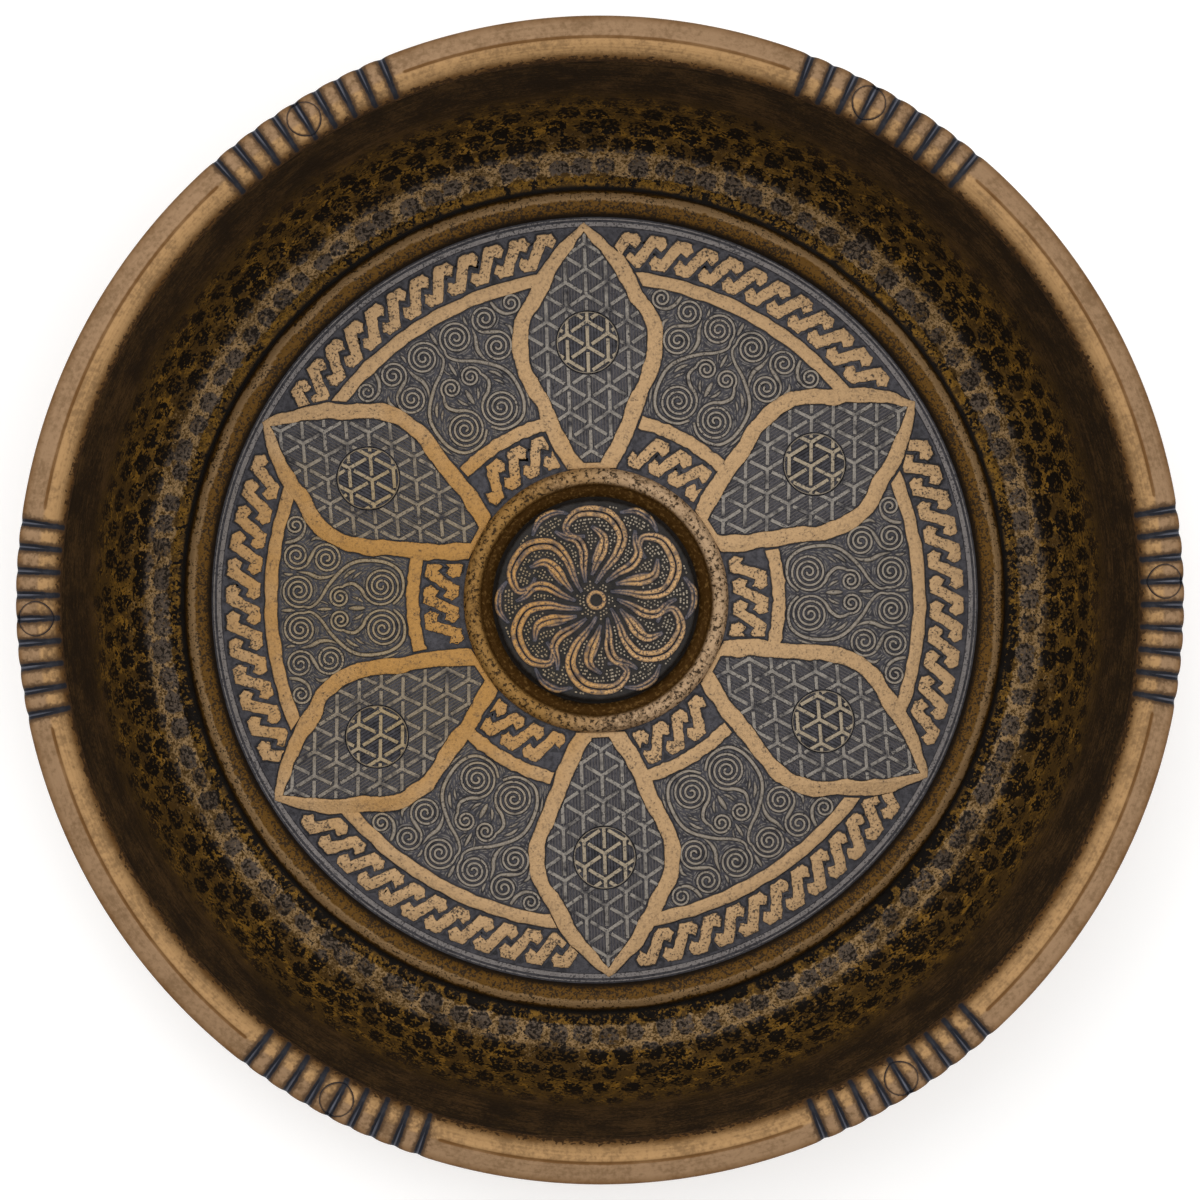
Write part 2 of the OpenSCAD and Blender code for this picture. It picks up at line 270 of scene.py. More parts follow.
def apart(angles: Array, angle: float) -> Array:
    """Returns how far angles lie from one angle, the short way round."""
    return np.abs((angles - angle + math.pi) % math.tau - math.pi)


def unit(vectors: Array) -> Array:
    """Returns vectors at length 1."""
    return vectors / np.linalg.norm(vectors, axis=-1, keepdims=True)


def search_tree(points: Array) -> KDTree:
    """Sorts points in space so that the nearest of them is found quickly.

    Args:
        points: The points.

    Returns:
        The tree, which gives a point's number.
    """
    tree = KDTree(len(points))
    for i, point in enumerate(points):
        tree.insert(point, i)
    tree.balance()
    return tree


# Work at the bench


def take(*pieces: Piece) -> None:
    """Selects some pieces alone, the last of them active.

    Args:
        pieces: The pieces, or none to select nothing.
    """
    bpy.ops.object.select_all(action="DESELECT")
    for piece in pieces:
        piece.select_set(True)
        bpy.context.view_layer.objects.active = piece


def close(piece: Piece) -> None:
    """Merges doubled points of a piece and turns its faces outwards.

    Args:
        piece: The piece.
    """
    take(piece)
    bpy.ops.object.mode_set(mode="EDIT")
    bpy.ops.mesh.select_all(action="SELECT")
    bpy.ops.mesh.remove_doubles(threshold=SAME_POINT)
    bpy.ops.mesh.normals_make_consistent(inside=False)
    bpy.ops.object.mode_set(mode="OBJECT")


def revolve(name: str, profile: Sequence[Point], steps: int) -> Piece:
    """Spins a section round the Z axis.

    Args:
        name: Name of the piece.
        profile: Section as radius and height, closed or with both ends on the axis.
        steps: Number of faces round the axis.

    Returns:
        The piece.
    """
    take()
    bpy.ops.mesh.primitive_plane_add(size=MM)
    piece = bpy.context.object
    piece.name = name
    bpy.ops.object.mode_set(mode="EDIT")
    bpy.ops.mesh.merge(type="CENTER")
    bpy.ops.transform.translate(value=(profile[0][0], 0, profile[0][1]))
    for here, there in zip(profile, profile[1:]):
        step = (there[0] - here[0], 0, there[1] - here[1])
        bpy.ops.mesh.extrude_region_move(TRANSFORM_OT_translate={"value": step})
    bpy.ops.object.mode_set(mode="OBJECT")
    screw = piece.modifiers.new("turn", "SCREW")
    screw.axis = "Z"
    screw.angle = math.tau
    screw.steps = steps
    bpy.ops.object.modifier_apply(modifier=screw.name)
    close(piece)
    return piece


def drawn_curve(lines: Sequence[Array]) -> Piece:
    """Starts a curve with a straight-sided line through each row of points.

    Args:
        lines: Points of each line, flat or in space.

    Returns:
        The curve.
    """
    take()
    bpy.ops.curve.primitive_nurbs_path_add()
    piece = bpy.context.object
    piece.data.splines.clear()
    for line in lines:
        spline = piece.data.splines.new("POLY")
        spline.points.add(len(line) - 1)
        places = np.zeros((len(line), 4))
        places[:, :line.shape[1]] = line
        places[:, 3] = 1
        spline.points.foreach_set("co", places.ravel())
    return piece


def raise_flat(
    name: str, outlines: Sequence[Array], foot: float, top: float, edge: float, grow: float = 0
) -> Piece:
    """Raises flat figures with rounded edges from their outlines.

    Args:
        name: Name of the piece.
        outlines: Closed outlines of the figures' feet. One that lies in another is a hole.
        foot: Height of the lower face.
        top: Height of the upper face.
        edge: Radius of the rounded edges.
        grow: Distance that the figures are grown.

    Returns:
        The piece.
    """
    piece = drawn_curve(outlines)
    curve = piece.data
    curve.dimensions = "2D"
    curve.fill_mode = "BOTH"
    for spline in curve.splines:
        spline.use_cyclic_u = True
    curve.bevel_depth = edge
    curve.bevel_resolution = 1
    curve.offset = grow - edge
    curve.extrude = (top - foot) / 2 - edge
    piece.location.z = (top + foot) / 2
    return made_mesh(piece, name)


def lay_ridges(name: str, lines: Sequence[Line], sides: int) -> Piece:
    """Lays round ridges along lines.

    Args:
        name: Name of the piece.
        lines: Points and half widths of each ridge.
        sides: Number of faces round a ridge: 4, 6 or 8.

    Returns:
        The piece.
    """
    piece = drawn_curve([points for points, _ in lines])
    curve = piece.data
    for spline, (_, half_widths) in zip(curve.splines, lines):
        spline.points.foreach_set("radius", half_widths)
    curve.twist_mode = "Z_UP"
    curve.bevel_depth = 1
    curve.bevel_resolution = sides // 2 - 2
    curve.use_fill_caps = True
    return made_mesh(piece, name)


def made_mesh(piece: Piece, name: str) -> Piece:
    """Turns a curve into a closed mesh of that name.

    Args:
        piece: The curve.
        name: Name of the mesh's object.

    Returns:
        The same object, with its place in its points.
    """
    take(piece)
    bpy.ops.object.convert(target="MESH")
    bpy.ops.object.transform_apply(location=True, rotation=True, scale=True)
    piece.name = name
    close(piece)
    return piece


def copy_of(model: Piece, name: str) -> Piece:
    """Copies a piece, with a mesh of its own.

    Args:
        model: The piece that is copied.
        name: Name of the copy.

    Returns:
        The copy.
    """
    piece = model.copy()
    piece.data = model.data.copy()
    piece.name = name
    bpy.context.scene.collection.objects.link(piece)
    return piece


def copies_of(name: str, model: Piece, places: Sequence[Matrix]) -> Piece:
    """Sets copies of a model side by side in one mesh.

    Args:
        name: Name of the new piece.
        model: The piece that is copied. It is removed.
        places: Place of each copy.

    Returns:
        The new piece.
    """
    points = points_of(model)
    faces = [list(face.vertices) for face in model.data.polygons]
    rows = [points @ np.array(place)[:3, :3].T + np.array(place)[:3, 3] for place in places]
    shifted = [[i + n * len(points) for i in face] for n in range(len(places)) for face in faces]
    mesh = bpy.data.meshes.new(name)
    mesh.from_pydata(np.vstack(rows), [], shifted)
    piece = bpy.data.objects.new(name, mesh)
    bpy.context.scene.collection.objects.link(piece)
    bpy.data.objects.remove(model)
    return piece


def join(name: str, pieces: Sequence[Piece]) -> Piece:
    """Joins pieces into the last of them.

    Args:
        name: Name of the joined piece.
        pieces: The pieces.

    Returns:
        The joined piece.
    """
    take(*pieces)
    bpy.ops.object.join()
    pieces[-1].name = name
    return pieces[-1]


def cut(piece: Piece, cutter: Piece, kept: Kept) -> None:
    """Cuts a piece with another, which is then removed.

    Args:
        piece: The piece that stays.
        cutter: The piece that cuts.
        kept: What is left of the piece.
    """
    take(piece)
    modifier = piece.modifiers.new("cut", "BOOLEAN")
    modifier.operation = kept.value
    modifier.object = cutter
    modifier.solver = "EXACT"
    bpy.ops.object.modifier_apply(modifier=modifier.name)
    bpy.data.objects.remove(cutter)


def points_of(piece: Piece) -> Array:
    """Returns the points of a mesh as an array."""
    flat = np.empty(len(piece.data.vertices) * 3, np.float32)
    piece.data.vertices.foreach_get("co", flat)
    return flat.reshape(-1, 3).astype(float)


def move_points(piece: Piece, points: Array) -> None:
    """Puts the points of a mesh at new places."""
    piece.data.vertices.foreach_set("co", points.astype(np.float32).ravel())
    piece.data.update()


def mark_points(piece: Piece, **marks: Array) -> None:
    """Stores numbers per point, under their names, for the finish to read."""
    for name, values in marks.items():
        attribute = piece.data.attributes.new(name, "FLOAT", "POINT")
        attribute.data.foreach_set("value", values.astype(np.float32))


def hand_over(piece: Piece, material: Material, slot: Slot, *nodes: str, sharp: float | None = 35) -> None:
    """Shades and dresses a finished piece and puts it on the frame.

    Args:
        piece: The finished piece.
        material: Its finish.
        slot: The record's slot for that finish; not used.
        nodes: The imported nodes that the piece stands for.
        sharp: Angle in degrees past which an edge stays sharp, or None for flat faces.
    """
    if sharp is not None:
        take(piece)
        bpy.ops.object.shade_smooth_by_angle(angle=math.radians(sharp))
    piece.data.materials.clear()
    piece.data.materials.append(material)
    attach(piece, ROOT)
    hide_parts(*nodes)
    log.info("%s: %d faces", piece.name, len(piece.data.polygons))


# Finishes


def linear(colour: Colour) -> tuple[float, float, float, float]:
    """Returns a screen colour as the shader's linear colour."""
    shares = (part / 255 for part in colour)
    red, green, blue = (s / 12.92 if s <= 0.04045 else ((s + 0.055) / 1.055) ** 2.4 for s in shares)
    return red, green, blue, 1.0


class Wire:
    """A shader value that takes part in Python arithmetic."""

    def __init__(self, owner: "Nodes", socket: Socket) -> None:
        """Keeps the socket and the nodes that own it."""
        self.owner = owner
        self.socket = socket

    def calculate(self, operation: str, first: "Wire | float", second: "Wire | float") -> "Wire":
        """Adds a Math node on two values and returns its result."""
        node = self.owner.node("Math", {"operation": operation}, {0: first, 1: second})
        return Wire(self.owner, node.outputs[0])

    def __add__(self, other: "Wire | float") -> "Wire":
        """Adds a value."""
        return self.calculate("ADD", self, other)

    def __radd__(self, other: float) -> "Wire":
        """Adds to a number."""
        return self.calculate("ADD", other, self)

    def __sub__(self, other: "Wire | float") -> "Wire":
        """Takes a value away."""
        return self.calculate("SUBTRACT", self, other)

    def __rsub__(self, other: float) -> "Wire":
        """Takes this away from a number."""
        return self.calculate("SUBTRACT", other, self)

    def __mul__(self, other: "Wire | float") -> "Wire":
        """Multiplies by a value."""
        return self.calculate("MULTIPLY", self, other)

    def __rmul__(self, other: float) -> "Wire":
        """Multiplies a number."""
        return self.calculate("MULTIPLY", other, self)

    def rising(self, low: float, high: float) -> "Wire":
        """Goes smoothly from 0 at the low value to 1 at the high one."""
        sockets = {"Value": self, "From Min": low, "From Max": high}
        node = self.owner.node("MapRange", {"interpolation_type": "SMOOTHSTEP"}, sockets)
        return Wire(self.owner, node.outputs[0])

    def falling(self, low: float, high: float) -> "Wire":
        """Goes smoothly from 1 at the low value to 0 at the high one."""
        return 1 - self.rising(low, high)


class Nodes:
    """A node tree that is wired in code."""

    def __init__(self, tree: bpy.types.NodeTree) -> None:
        """Keeps the tree."""
        self.tree = tree

    def node(
        self,
        kind: str,
        settings: dict[str, object] | None = None,
        sockets: dict[int | str, object] | None = None,
    ) -> bpy.types.Node:
        """Adds a node.

        Args:
            kind: The node's type, without its usual prefix.
            settings: Its settings, which are set first.
            sockets: Values or links of its inputs.

        Returns:
            The node.
        """
        node = self.tree.nodes.new(f"ShaderNode{kind}")
        for name, value in (settings or {}).items():
            setattr(node, name, value)
        for key, value in (sockets or {}).items():
            self.feed(node.inputs[key], value)
        return node

    def feed(self, socket: Socket, value: object) -> None:
        """Links an input to a wire or a socket, or sets it to a number or a colour.

        Args:
            socket: The input.
            value: What it is linked or set to.
        """
        source = value.socket if isinstance(value, Wire) else value
        if isinstance(source, Socket):
            self.tree.links.new(source, socket)
        else:
            socket.default_value = source

    def seen(self, joined_by: str) -> Wire:
        """Tells which rays come from the camera, straight or by way of metal and glass.

        Args:
            joined_by: Operation that joins the three kinds of rays.

        Returns:
            1 for those rays and 0 for the others.
        """
        path = self.node("LightPath")
        kinds = ("Camera", "Glossy", "Transmission")
        camera, glossy, clear = (Wire(self, path.outputs[f"Is {kind} Ray"]) for kind in kinds)
        straight_or_metal = camera.calculate(joined_by, camera, glossy)
        return camera.calculate(joined_by, straight_or_metal, clear)


class Paint(Nodes):
    """A material that is mixed from nodes."""

    def __init__(self, name: str) -> None:
        """Starts a material with one shader.

        Args:
            name: Name of the material.
        """
        self.material = bpy.data.materials.new(name)
        self.material.use_nodes = True
        super().__init__(self.material.node_tree)
        self.shader = self.tree.nodes["Principled BSDF"]
        self.position = self.node("TexCoord").outputs["Object"]

    def shade(self, **inputs: object) -> None:
        """Feeds the shader's inputs, with their names written small and joined by lines."""
        sockets = {socket.name.lower().replace(" ", "_"): socket for socket in self.shader.inputs}
        for name, value in inputs.items():
            self.feed(sockets[name], value)

    def axis(self, name: str) -> Wire:
        """Returns the place along X, Y or Z."""
        node = self.node("SeparateXYZ", None, {0: self.position})
        return Wire(self, node.outputs[name])

    def radius(self) -> Wire:
        """Returns the distance from the bowl's axis."""
        flat = self.node("VectorMath", {"operation": "MULTIPLY"}, {0: self.position, 1: (1, 1, 0)})
        node = self.node("VectorMath", {"operation": "LENGTH"}, {0: flat.outputs[0]})
        return Wire(self, node.outputs["Value"])

    def away(self, place: Place) -> Wire:
        """Returns the distance from a place."""
        node = self.node("VectorMath", {"operation": "DISTANCE"}, {0: self.position, 1: place})
        return Wire(self, node.outputs["Value"])

    def mark(self, name: str) -> Wire:
        """Returns a number that is stored on the points."""
        node = self.node("Attribute", {"attribute_name": name})
        return Wire(self, node.outputs["Fac"])

    def cloud(self, size: float, detail: int, stretch: Place = (1, 1, 1)) -> Wire:
        """Adds soft random patches.

        Args:
            size: Usual width of a patch.
            detail: Number of finer layers in it.
            stretch: How much finer the patches are along each axis.

        Returns:
            A value about 0.5.
        """
        scaled = self.node("VectorMath", {"operation": "MULTIPLY"}, {0: self.position, 1: stretch})
        sockets = {"Vector": scaled.outputs[0], "Scale": 1 / size, "Detail": detail, "Roughness": 0.6}
        return Wire(self, self.node("TexNoise", None, sockets).outputs[0])

    def clouds(self, *patches: Patch) -> list[Wire]:
        """Adds soft random patches of several sizes and details."""
        return [self.cloud(size, detail) for size, detail in patches]

    def turning_marks(self, pitch: float) -> Wire:
        """Adds fine marks that run round the bowl's axis.

        Args:
            pitch: Usual distance between two marks.

        Returns:
            A value about 0.5.
        """
        drift = self.cloud(25 * MM, 1)
        place = {0: self.radius(), 1: self.axis("Z"), 2: drift * (2 * pitch)}
        along = self.node("CombineXYZ", None, place)
        sockets = {"Vector": along.outputs[0], "Scale": 1 / pitch, "Detail": 2}
        return Wire(self, self.node("TexNoise", None, sockets).outputs[0])

    def blend(self, share: Wire | float, first: object, second: object) -> Socket:
        """Mixes two colours.

        Args:
            share: Share of the second colour.
            first: A screen colour, or the result of another blend.
            second: A screen colour, or the result of another blend.

        Returns:
            The mixed colour.
        """
        colours = [linear(c) if isinstance(c, tuple) else c for c in (first, second)]
        settings = {"data_type": "RGBA", "clamp_factor": True}
        node = self.node("Mix", settings, {0: share, 6: colours[0], 7: colours[1]})
        return node.outputs[2]

    def done(
        self,
        colour: Socket,
        roughness: Wire,
        metallic: Wire | float,
        height: Wire,
        depth: float,
        gloss: float = 0.3,
    ) -> Material:
        """Feeds the shader.

        Args:
            colour: Base colour.
            roughness: Roughness over the surface.
            metallic: Share of bare metal.
            height: Height of the fine relief.
            depth: Height difference for a change of 1.
            gloss: Strength of the reflection from the patina.

        Returns:
            The finished material.
        """
        bump = self.node("Bump", None, {"Strength": 1.0, "Distance": depth, "Height": height})
        self.shade(base_color=colour, roughness=roughness, metallic=metallic)
        self.shade(specular_ior_level=gloss, normal=bump.outputs[0])
        return self.material


@dataclass(frozen=True)
class HammeredPatina:
    """Dark brown brass, worn on the ridges between the hammer marks."""

    floor_r: float
    ochre: Colour = (118, 86, 32)
    gold: Colour = (136, 99, 36)
    brown: Colour = (74, 53, 22)
    black: Colour = (16, 10, 5)
    worn: Colour = (164, 133, 92)
    slate: Colour = (84, 75, 69)
    # Dark colour of the specks on the outside, and of the upper wall's dark patina and painted shade.
    soot_and_shade: Colour = (30, 20, 10)
    streak_brown: Colour = (78, 56, 31)
    outside: Colour = (162, 126, 78)
    outside_dark: Colour = (112, 83, 48)
    pale_from: float = 2.6 * MM
    pale_to: float = 7.2 * MM
    pale_edge: float = 0.4 * MM
    pale_fade: float = 2 * MM
    worn_to: float = 16 * MM
    # Climb over which the upper wall turns dark: dark patina, darkened further by painted shade.
    upper_dark_from: float = 22 * MM
    upper_dark_to: float = 34 * MM
    # Width of the painted shade in the crease where the wall meets the floor ring.
    groove: float = 1.1 * MM
    # Span along Y over which the first row's painted shade moves from the dents to the ridges between them.
    shade_flip_span: Point = (-30 * MM, 50 * MM)
    patches: tuple[Patch, ...] = ((8 * MM, 3), (1.5 * MM, 3), (0.62 * MM, 3))
    dust_patch: Patch = (0.45 * MM, 2)
    gold_patch: Patch = (4 * MM, 3)
    streak_patch: Patch = (6 * MM, 3)
    streak_stretch: Place = (1, 1, 24)
    bare_metal: float = 0.6
    relief_h: float = 0.2 * MM
    gloss: float = 0.15

    def material(self) -> Material:
        """Mixes the finish from the marks that the bowl's points carry.

        Returns:
            The material.
        """
        paint = Paint("hammered_brass")
        broad, grain, specks = paint.clouds(*self.patches)
        inner = self.inner_colour(paint, broad, grain, specks)
        inside = paint.mark("inside")
        tarnish = paint.mark("dent") * 0.3 + (broad - 0.5) * 1.2
        tarnish = tarnish + (grain - 0.5) * 1.6 + (specks - 0.5) * 0.8
        skin = paint.blend(tarnish.rising(-0.25, 0.6), self.outside, self.outside_dark)
        spots = ((specks - 0.5) * 4 + (broad - 0.5) * 2).rising(0.6, 1.2)
        skin = paint.blend(spots * 0.7, skin, self.soot_and_shade)
        colour = paint.blend(inside, skin, inner)
        relief = grain * 0.6 + specks * 0.4
        roughness = 0.36 + grain * 0.24 + inside * 0.17
        metallic = self.bare_metal - inside * 0.3
        return paint.done(colour, roughness, metallic, relief, self.relief_h, self.gloss)

    def inner_colour(self, paint: Paint, broad: Wire, grain: Wire, specks: Wire) -> Socket:
        """Mixes the colour of the inside, zone by zone up the wall.

        Args:
            paint: The material.
            broad: Broad patches.
            grain: Fine patches.
            specks: Finest patches.

        Returns:
            The colour.
        """
        dust = paint.cloud(*self.dust_patch)
        stipple = (specks - 0.5) * 6 + (grain - 0.5) * 3.5 + (dust - 0.5) * 2
        hollow = (paint.mark("dent") + (grain - 0.5) * 0.4).rising(0, 0.36)
        tone = paint.mark("tone") - 0.5
        climb = paint.mark("climb") + (grain - 0.5) * (3 * MM)
        patch = (broad - 0.5) * 1.8

        wall = paint.blend((broad * 0.5 + grain * 0.5).rising(0.42, 0.6), self.brown, self.ochre)
        golden = paint.cloud(*self.gold_patch) + (grain - 0.5) * 0.5
        wall = paint.blend(golden.rising(0.54, 0.64), wall, self.gold)
        bright = (dust + (grain - 0.5) * 0.8 - hollow * 0.08).rising(0.54, 0.66)
        bright = bright * climb.falling(self.pale_to, self.worn_to)
        wall = paint.blend(bright * 0.75, wall, self.worn)
        dark = (hollow * 1.15 + tone * 0.5 + stipple * 1.2 + patch).rising(0.4, 0.7)
        wall = paint.blend(dark, wall, self.black)

        first = paint.blend((grain * 0.6 + dust * 0.4).rising(0.42, 0.56), self.brown, self.gold)
        # First row: dark stipple and tone, plus painted shade that falls in the dents towards -Y and between
        # them towards +Y.
        tile = (paint.mark("dent") + (grain - 0.5) * 0.3).rising(0.01, 0.2) - 0.5
        shade_flip = 1.5 - 2.5 * paint.axis("Y").rising(*self.shade_flip_span)
        dirt_and_shade = stipple * 1.2 + tone * 1.1 + tile * shade_flip
        first = paint.blend(dirt_and_shade.rising(0, 0.4), first, self.black)
        wall = paint.blend(climb.falling(self.pale_from, self.pale_from + self.pale_edge), wall, first)

        pale = paint.blend((dust * 0.6 + grain * 0.4).rising(0.4, 0.55), self.brown, self.worn)
        dull = (hollow * 1.3 + stipple * 0.7 + tone * 0.5).rising(0.45, 0.85)
        pale = paint.blend(dull * 0.85, pale, self.slate)
        pits = (stipple * 0.9 + hollow * 0.6 - patch * 0.3).rising(0.55, 1)
        pale = paint.blend(pits * 0.9, pale, self.black)
        band = climb.rising(self.pale_from, self.pale_from + self.pale_edge)
        band = band * climb.falling(self.pale_to, self.pale_to + self.pale_fade)
        wall = paint.blend(band * (broad * 2 - 0.2 + (grain - 0.5)).rising(0, 1), wall, pale)

        # Upper wall: dark patina with fine streaks, darkened further by painted shade on the steep wall under
        # the rim.
        streaks = paint.cloud(*self.streak_patch, self.streak_stretch)
        scratched = (streaks - 0.5) * 2.4 + (specks - 0.5) * 2 + (dust - 0.5)
        upper_dark = paint.blend((scratched + (broad - 0.5) * 2).rising(-0.2, 0.7), self.soot_and_shade, self.streak_brown)
        high = climb + (broad - 0.5) * (12 * MM) + stipple * (1.5 * MM)
        wall = paint.blend(high.rising(self.upper_dark_from, self.upper_dark_to) * 0.95, wall, upper_dark)
        # Painted shade: black in the crease where the wall meets the floor ring.
        groove = paint.radius().falling(self.floor_r + 0.4 * self.groove, self.floor_r + self.groove)
        return paint.blend(groove, wall, self.black)


@dataclass(frozen=True)
class FiledBrass:
    """Tan brass of the rim, with painted shade on the filed notches' rounded sides and in their valleys."""

    mouth_r: float
    crest_r: float
    rim_r: float
    gold: Colour = (161, 125, 81)
    tan: Colour = (144, 114, 83)
    stain: Colour = (104, 77, 47)
    amber: Colour = (96, 62, 20)
    shadow: Colour = (74, 52, 30)
    crust: Colour = (58, 37, 14)
    slate: Colour = (30, 31, 38)
    glint: Colour = (96, 98, 108)
    crest_soft: float = 0.4 * MM
    mouth_from: float = 0.2 * MM
    mouth_to: float = 1.4 * MM
    brim_w: float = 1.6 * MM
    crust_from: float = 0.1 * MM
    crust_to: float = 0.45 * MM
    patches: tuple[Patch, ...] = ((6 * MM, 3), (0.8 * MM, 3))
    file_pitch: float = 0.35 * MM
    metallic: float = 0.3
    relief_h: float = 0.14 * MM

    def material(self) -> Material:
        """Mixes the finish from the marks that the hoop's points carry.

        Returns:
            The material.
        """
        paint = Paint("rim_brass")
        radius = paint.radius()
        notch = paint.mark("notch")
        broad, grain = paint.clouds(*self.patches)
        marks = paint.turning_marks(self.file_pitch)
        # Lighter gold over the inner shoulder: a painted highlight on its rounded top.
        inner = radius.falling(self.crest_r - self.crest_soft, self.crest_r + self.crest_soft)
        colour = paint.blend(inner, self.tan, self.gold)
        dull = (broad * 0.6 + marks * 0.3 + (grain - 0.5) * 0.7 + 0.05).rising(0.4, 0.68)
        colour = paint.blend(dull * 0.6, colour, self.stain)
        # Painted shade where the hoop rounds down into the mouth, and a darker amber band along the outer
        # edge.
        mouth = radius.falling(self.mouth_r + self.mouth_from, self.mouth_r + self.mouth_to)
        brim = radius.rising(self.rim_r - self.brim_w, self.rim_r)
        colour = paint.blend((mouth + brim) * (0.3 + broad * 0.9), colour, self.amber)
        colour = paint.blend(paint.mark("chase").rising(0, 0.6) * (0.4 + broad), colour, self.amber)
        torn = radius + (grain - 0.5) * (3 * MM) + (broad - 0.5) * (1.2 * MM)
        crusted = torn.falling(self.mouth_r + self.crust_from, self.mouth_r + self.crust_to)
        colour = paint.blend(crusted, colour, self.crust)
        # Painted shade on the notches' rounded sides, dark slate in their valleys, and a painted glint along
        # their cores.
        shaken = notch + (grain - 0.5) * 0.5 + (broad - 0.5) * 0.2
        colour = paint.blend(shaken.rising(0.06, 0.36) * 0.9, colour, self.shadow)
        colour = paint.blend(shaken.rising(0.42, 0.72), colour, self.slate)
        colour = paint.blend(notch.rising(0.98, 1.14), colour, self.glint)
        relief = marks * 0.4 + grain * 0.6
        return paint.done(colour, 0.46 + grain * 0.2 + broad * 0.1, self.metallic, relief, self.relief_h)


@dataclass(frozen=True)
class ChasedPatina:
    """Slate-dark ground and brass that is worn bare on the raised tops.

    The height above the ground comes from the points' lift mark, or from the Z axis if ground_z is given.
    """

    name: str
    ground_z: float | None = None
    deep: Colour = (33, 31, 35)
    ground: Colour = (68, 66, 70)
    crest: Colour = (140, 132, 122)
    crest_warm: Colour = (138, 120, 92)
    warm_place: Place = (-32 * MM, 0, 4 * MM)
    warm_reach: Point = (16 * MM, 48 * MM)
    warm_drift: float = 40 * MM
    crest_from: float = 0.1 * MM
    crest_to: float = 0.28 * MM
    wear: float = 1.0
    pits: float = 0.2
    patches: tuple[Patch, ...] = ((11 * MM, 3), (2.4 * MM, 3), (0.8 * MM, 3), (0.4 * MM, 2))
    metallic: float = 0.3
    relief_h: float = 0.14 * MM

    def material(self) -> Material:
        """Mixes the finish by height above the ground.

        Returns:
            The material.
        """
        paint = Paint(self.name)
        lift = paint.mark("lift") if self.ground_z is None else paint.axis("Z") - self.ground_z
        broad, patch, grain, specks = paint.clouds(*self.patches)
        side = (paint.away(self.warm_place) + (broad - 0.5) * self.warm_drift).falling(*self.warm_reach)
        low = paint.blend((grain * 0.6 + patch * 0.4).rising(0.35, 0.62), self.deep, self.ground)
        bare = paint.blend(side, self.crest, self.crest_warm)
        dull = (patch * 0.3 + grain * 0.4 + specks * 0.3).rising(0.46, 0.7)
        bare = paint.blend(dull * 0.5, bare, self.ground)
        worn = (lift + (grain - 0.5) * (0.14 * MM)).rising(self.crest_from, self.crest_to)
        worn = worn * (patch + self.wear - 0.5).rising(0.35, 0.65)
        colour = paint.blend(worn, low, bare)
        pitted = specks + (broad - 0.5) * 0.25 + (patch - 0.5) * 0.3
        colour = paint.blend(pitted.rising(0.8 - self.pits, 0.9 - self.pits) * 0.8, colour, self.deep)
        relief = grain * 0.5 + specks * 0.5
        return paint.done(colour, 0.48 + grain * 0.25, self.metallic, relief, self.relief_h)


@dataclass(frozen=True)
class RingBrass:
    """Ochre brass of the half-round ring, with a painted highlight stripe on its outer side, painted shade at
    both flanks and more dark specks on its inner half.
    """

    middle_r: float
    ochre: Colour = (92, 62, 12)
    pale: Colour = (140, 111, 75)
    black: Colour = (22, 15, 8)
    # Spans of the painted highlight stripe, and of the painted shade at each flank.
    stripe_from: Point = (0, 0.5 * MM)
    stripe_to: Point = (1.5 * MM, 1.9 * MM)
    inner_shade_span: Point = (-2.3 * MM, -1.5 * MM)
    outer_shade_span: Point = (1.8 * MM, 2.3 * MM)
    patches: tuple[Patch, ...] = ((9 * MM, 3), (0.8 * MM, 3), (0.36 * MM, 3))
    mark_pitch: float = 0.3 * MM
    metallic: float = 0.35
    relief_h: float = 0.16 * MM
    gloss: float = 0.2

    def material(self) -> Material:
        """Mixes the finish across the ring's width.

        Returns:
            The material.
        """
        paint = Paint("ring_brass")
        across = paint.radius() - self.middle_r
        broad, grain, specks = paint.clouds(*self.patches)
        marks = paint.turning_marks(self.mark_pitch)
        # Painted highlight: a pale stripe just outside the crest.
        uneven = across + (broad - 0.5) * (1.6 * MM) + (grain - 0.5) * (1.2 * MM)
        highlight_stripe = uneven.rising(*self.stripe_from) * uneven.falling(*self.stripe_to)
        colour = paint.blend(highlight_stripe, self.ochre, self.pale)
        # Dark specks, fewer on the painted highlight stripe and more on the inner half.
        worn = highlight_stripe * 0.35 - across.falling(-1.8 * MM, 0.2 * MM) * 0.3
        soot_and_shade = (specks - 0.5) * 6 + (grain - 0.5) * 4 + (broad - 0.5) * 2 - worn
        colour = paint.blend(soot_and_shade.rising(-0.05, 0.6) * 0.85, colour, self.black)
        # Painted shade at both flanks, where the ring meets the plate and the wall.
        shade = across.falling(*self.inner_shade_span) + across.rising(*self.outer_shade_span)
        colour = paint.blend(shade * 0.92, colour, self.black)
        relief = marks * 0.5 + grain * 0.5
        return paint.done(colour, 0.5 + grain * 0.25, self.metallic, relief, self.relief_h, self.gloss)


